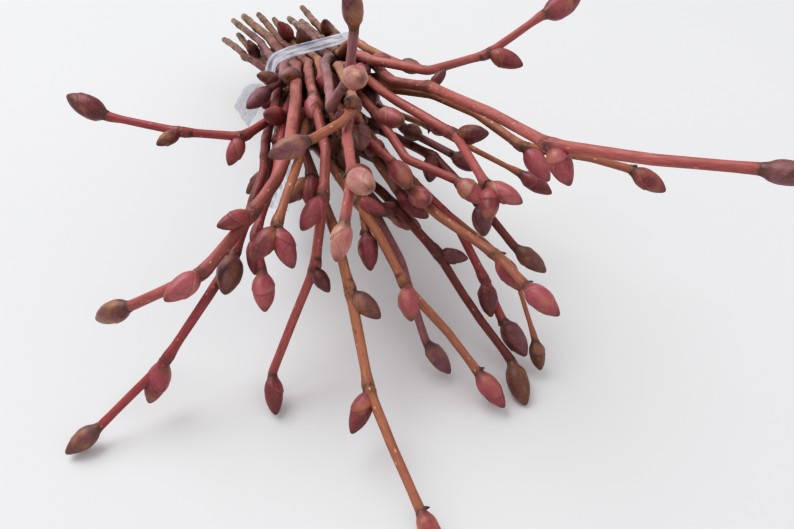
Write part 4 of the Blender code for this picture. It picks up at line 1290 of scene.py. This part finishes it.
def knot_piece():
    """The knot: a ball pressed flat, crumpled by waves that run round and over it."""
    rows, around = KNOT_GRID
    rise = np.linspace(0.02, math.pi - 0.02, rows)[:, None]
    turn = np.linspace(0, 2 * math.pi, around, endpoint=False)[None]
    crumple = 1 + 0.10 * np.sin(5 * turn + 3 * np.cos(rise)) + 0.08 * np.sin(9 * rise + 4 * np.sin(turn))
    size = KNOT_RADIUS * 0.92 * crumple
    ball = (np.sin(rise) * np.cos(turn) * size)[..., None] * ACROSS * 0.75
    ball = ball + (np.sin(rise) * np.sin(turn) * size)[..., None] * ALONG
    ball = ball - (np.cos(rise) * size)[..., None] * UP
    rings = knot_centre() + SHIFT + ball
    return round_piece(rings, rings, {}, 0)


# %% [markdown]
# ## Film material
#
# Thin polypropylene film is clear, but creased film isn't seen through: it scatters light and shows bright
# lines where it folds. Real refraction in so thin a sheet costs much and shows little, so part of the light
# simply goes straight through and the rest meets a smooth pale surface.


# %% Clear film
def film_material(name, breadth, dark, pale, cover, relief):
    """Creased film: pale blue-grey, glossy along its folds, and more or less see-through with its haze.

    breadth is the direction across the strip, cover the least and the most that the film hides, and relief
    how strongly its fine creases show.
    """
    material, tree = new_material(name)
    place = add(tree, "TexCoord", "Object")
    # object coordinates are metres; squeezed six times across the strip, so that everything is drawn out
    # along it: haze in streaks 0.8 mm by 5 mm, creases 0.4 mm by 2.5 mm
    deep = add(tree, "VectorMath", "Value", {0: place, 1: tuple(breadth)}, operation="DOT_PRODUCT")
    squeezed = add(tree, "VectorMath", "Vector", {0: tuple(5 * breadth), "Scale": deep}, operation="SCALE")
    strip = add(tree, "VectorMath", "Vector", {0: squeezed, 1: place}, operation="ADD")
    cloud = add(tree, "TexNoise", "Fac", {"Vector": strip, "Scale": 200.0, "Detail": 2.0})
    colour = add(tree, "ValToRGB", "Color", {"Fac": cloud}, ((0.3, dark), (0.7, pale)))
    crease = add(tree, "TexNoise", "Fac", {"Vector": strip, "Scale": 400.0, "Detail": 1.0})
    hiding = add(tree, "MapRange", "Result", {"Value": cloud, "From Min": 0.3, "From Max": 0.7,
                                              "To Min": cover[0], "To Max": cover[1]})
    look = {"Base Color": colour, "Roughness": 0.24, "IOR": 1.49, "Alpha": hiding}
    surface(tree, look, crease, relief, 0.2 * MM)
    return material


SHORT_BREADTH = unit(np.array([0.8, 0.1, -0.6]))
TIGHT_FILM = film_material("creased_film_pulled_tight", ALONG, "#8D93A3", "#E2E5EC", (0.42, 0.70), 0.4)
SHORT_FILM = film_material("creased_film_short_end", SHORT_BREADTH, "#C9CDD6", "#E8EAEF", (0.34, 0.56), 0.1)
LONG_FILM = film_material("creased_film_long_end", ACROSS, "#C9CDD6", "#E8EAEF", (0.34, 0.56), 0.1)
print("film finishes:", TIGHT_FILM.name, SHORT_FILM.name, LONG_FILM.name)

# %% Tie the bundle
short_end, long_end = film_tails()
film_pieces = [open_sheet("film_band", band_grid(), True, TIGHT_FILM),
               open_sheet("film_end_short", tail_grid(short_end, SHORT_BREADTH, 2.0), False, SHORT_FILM),
               open_sheet("film_end_long", tail_grid(long_end, ACROSS, 4.0), False, LONG_FILM),
               make_object("film_knot", [knot_piece()], [TIGHT_FILM])]
for piece in film_pieces:
    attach(piece, "root")
    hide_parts("film_tie")
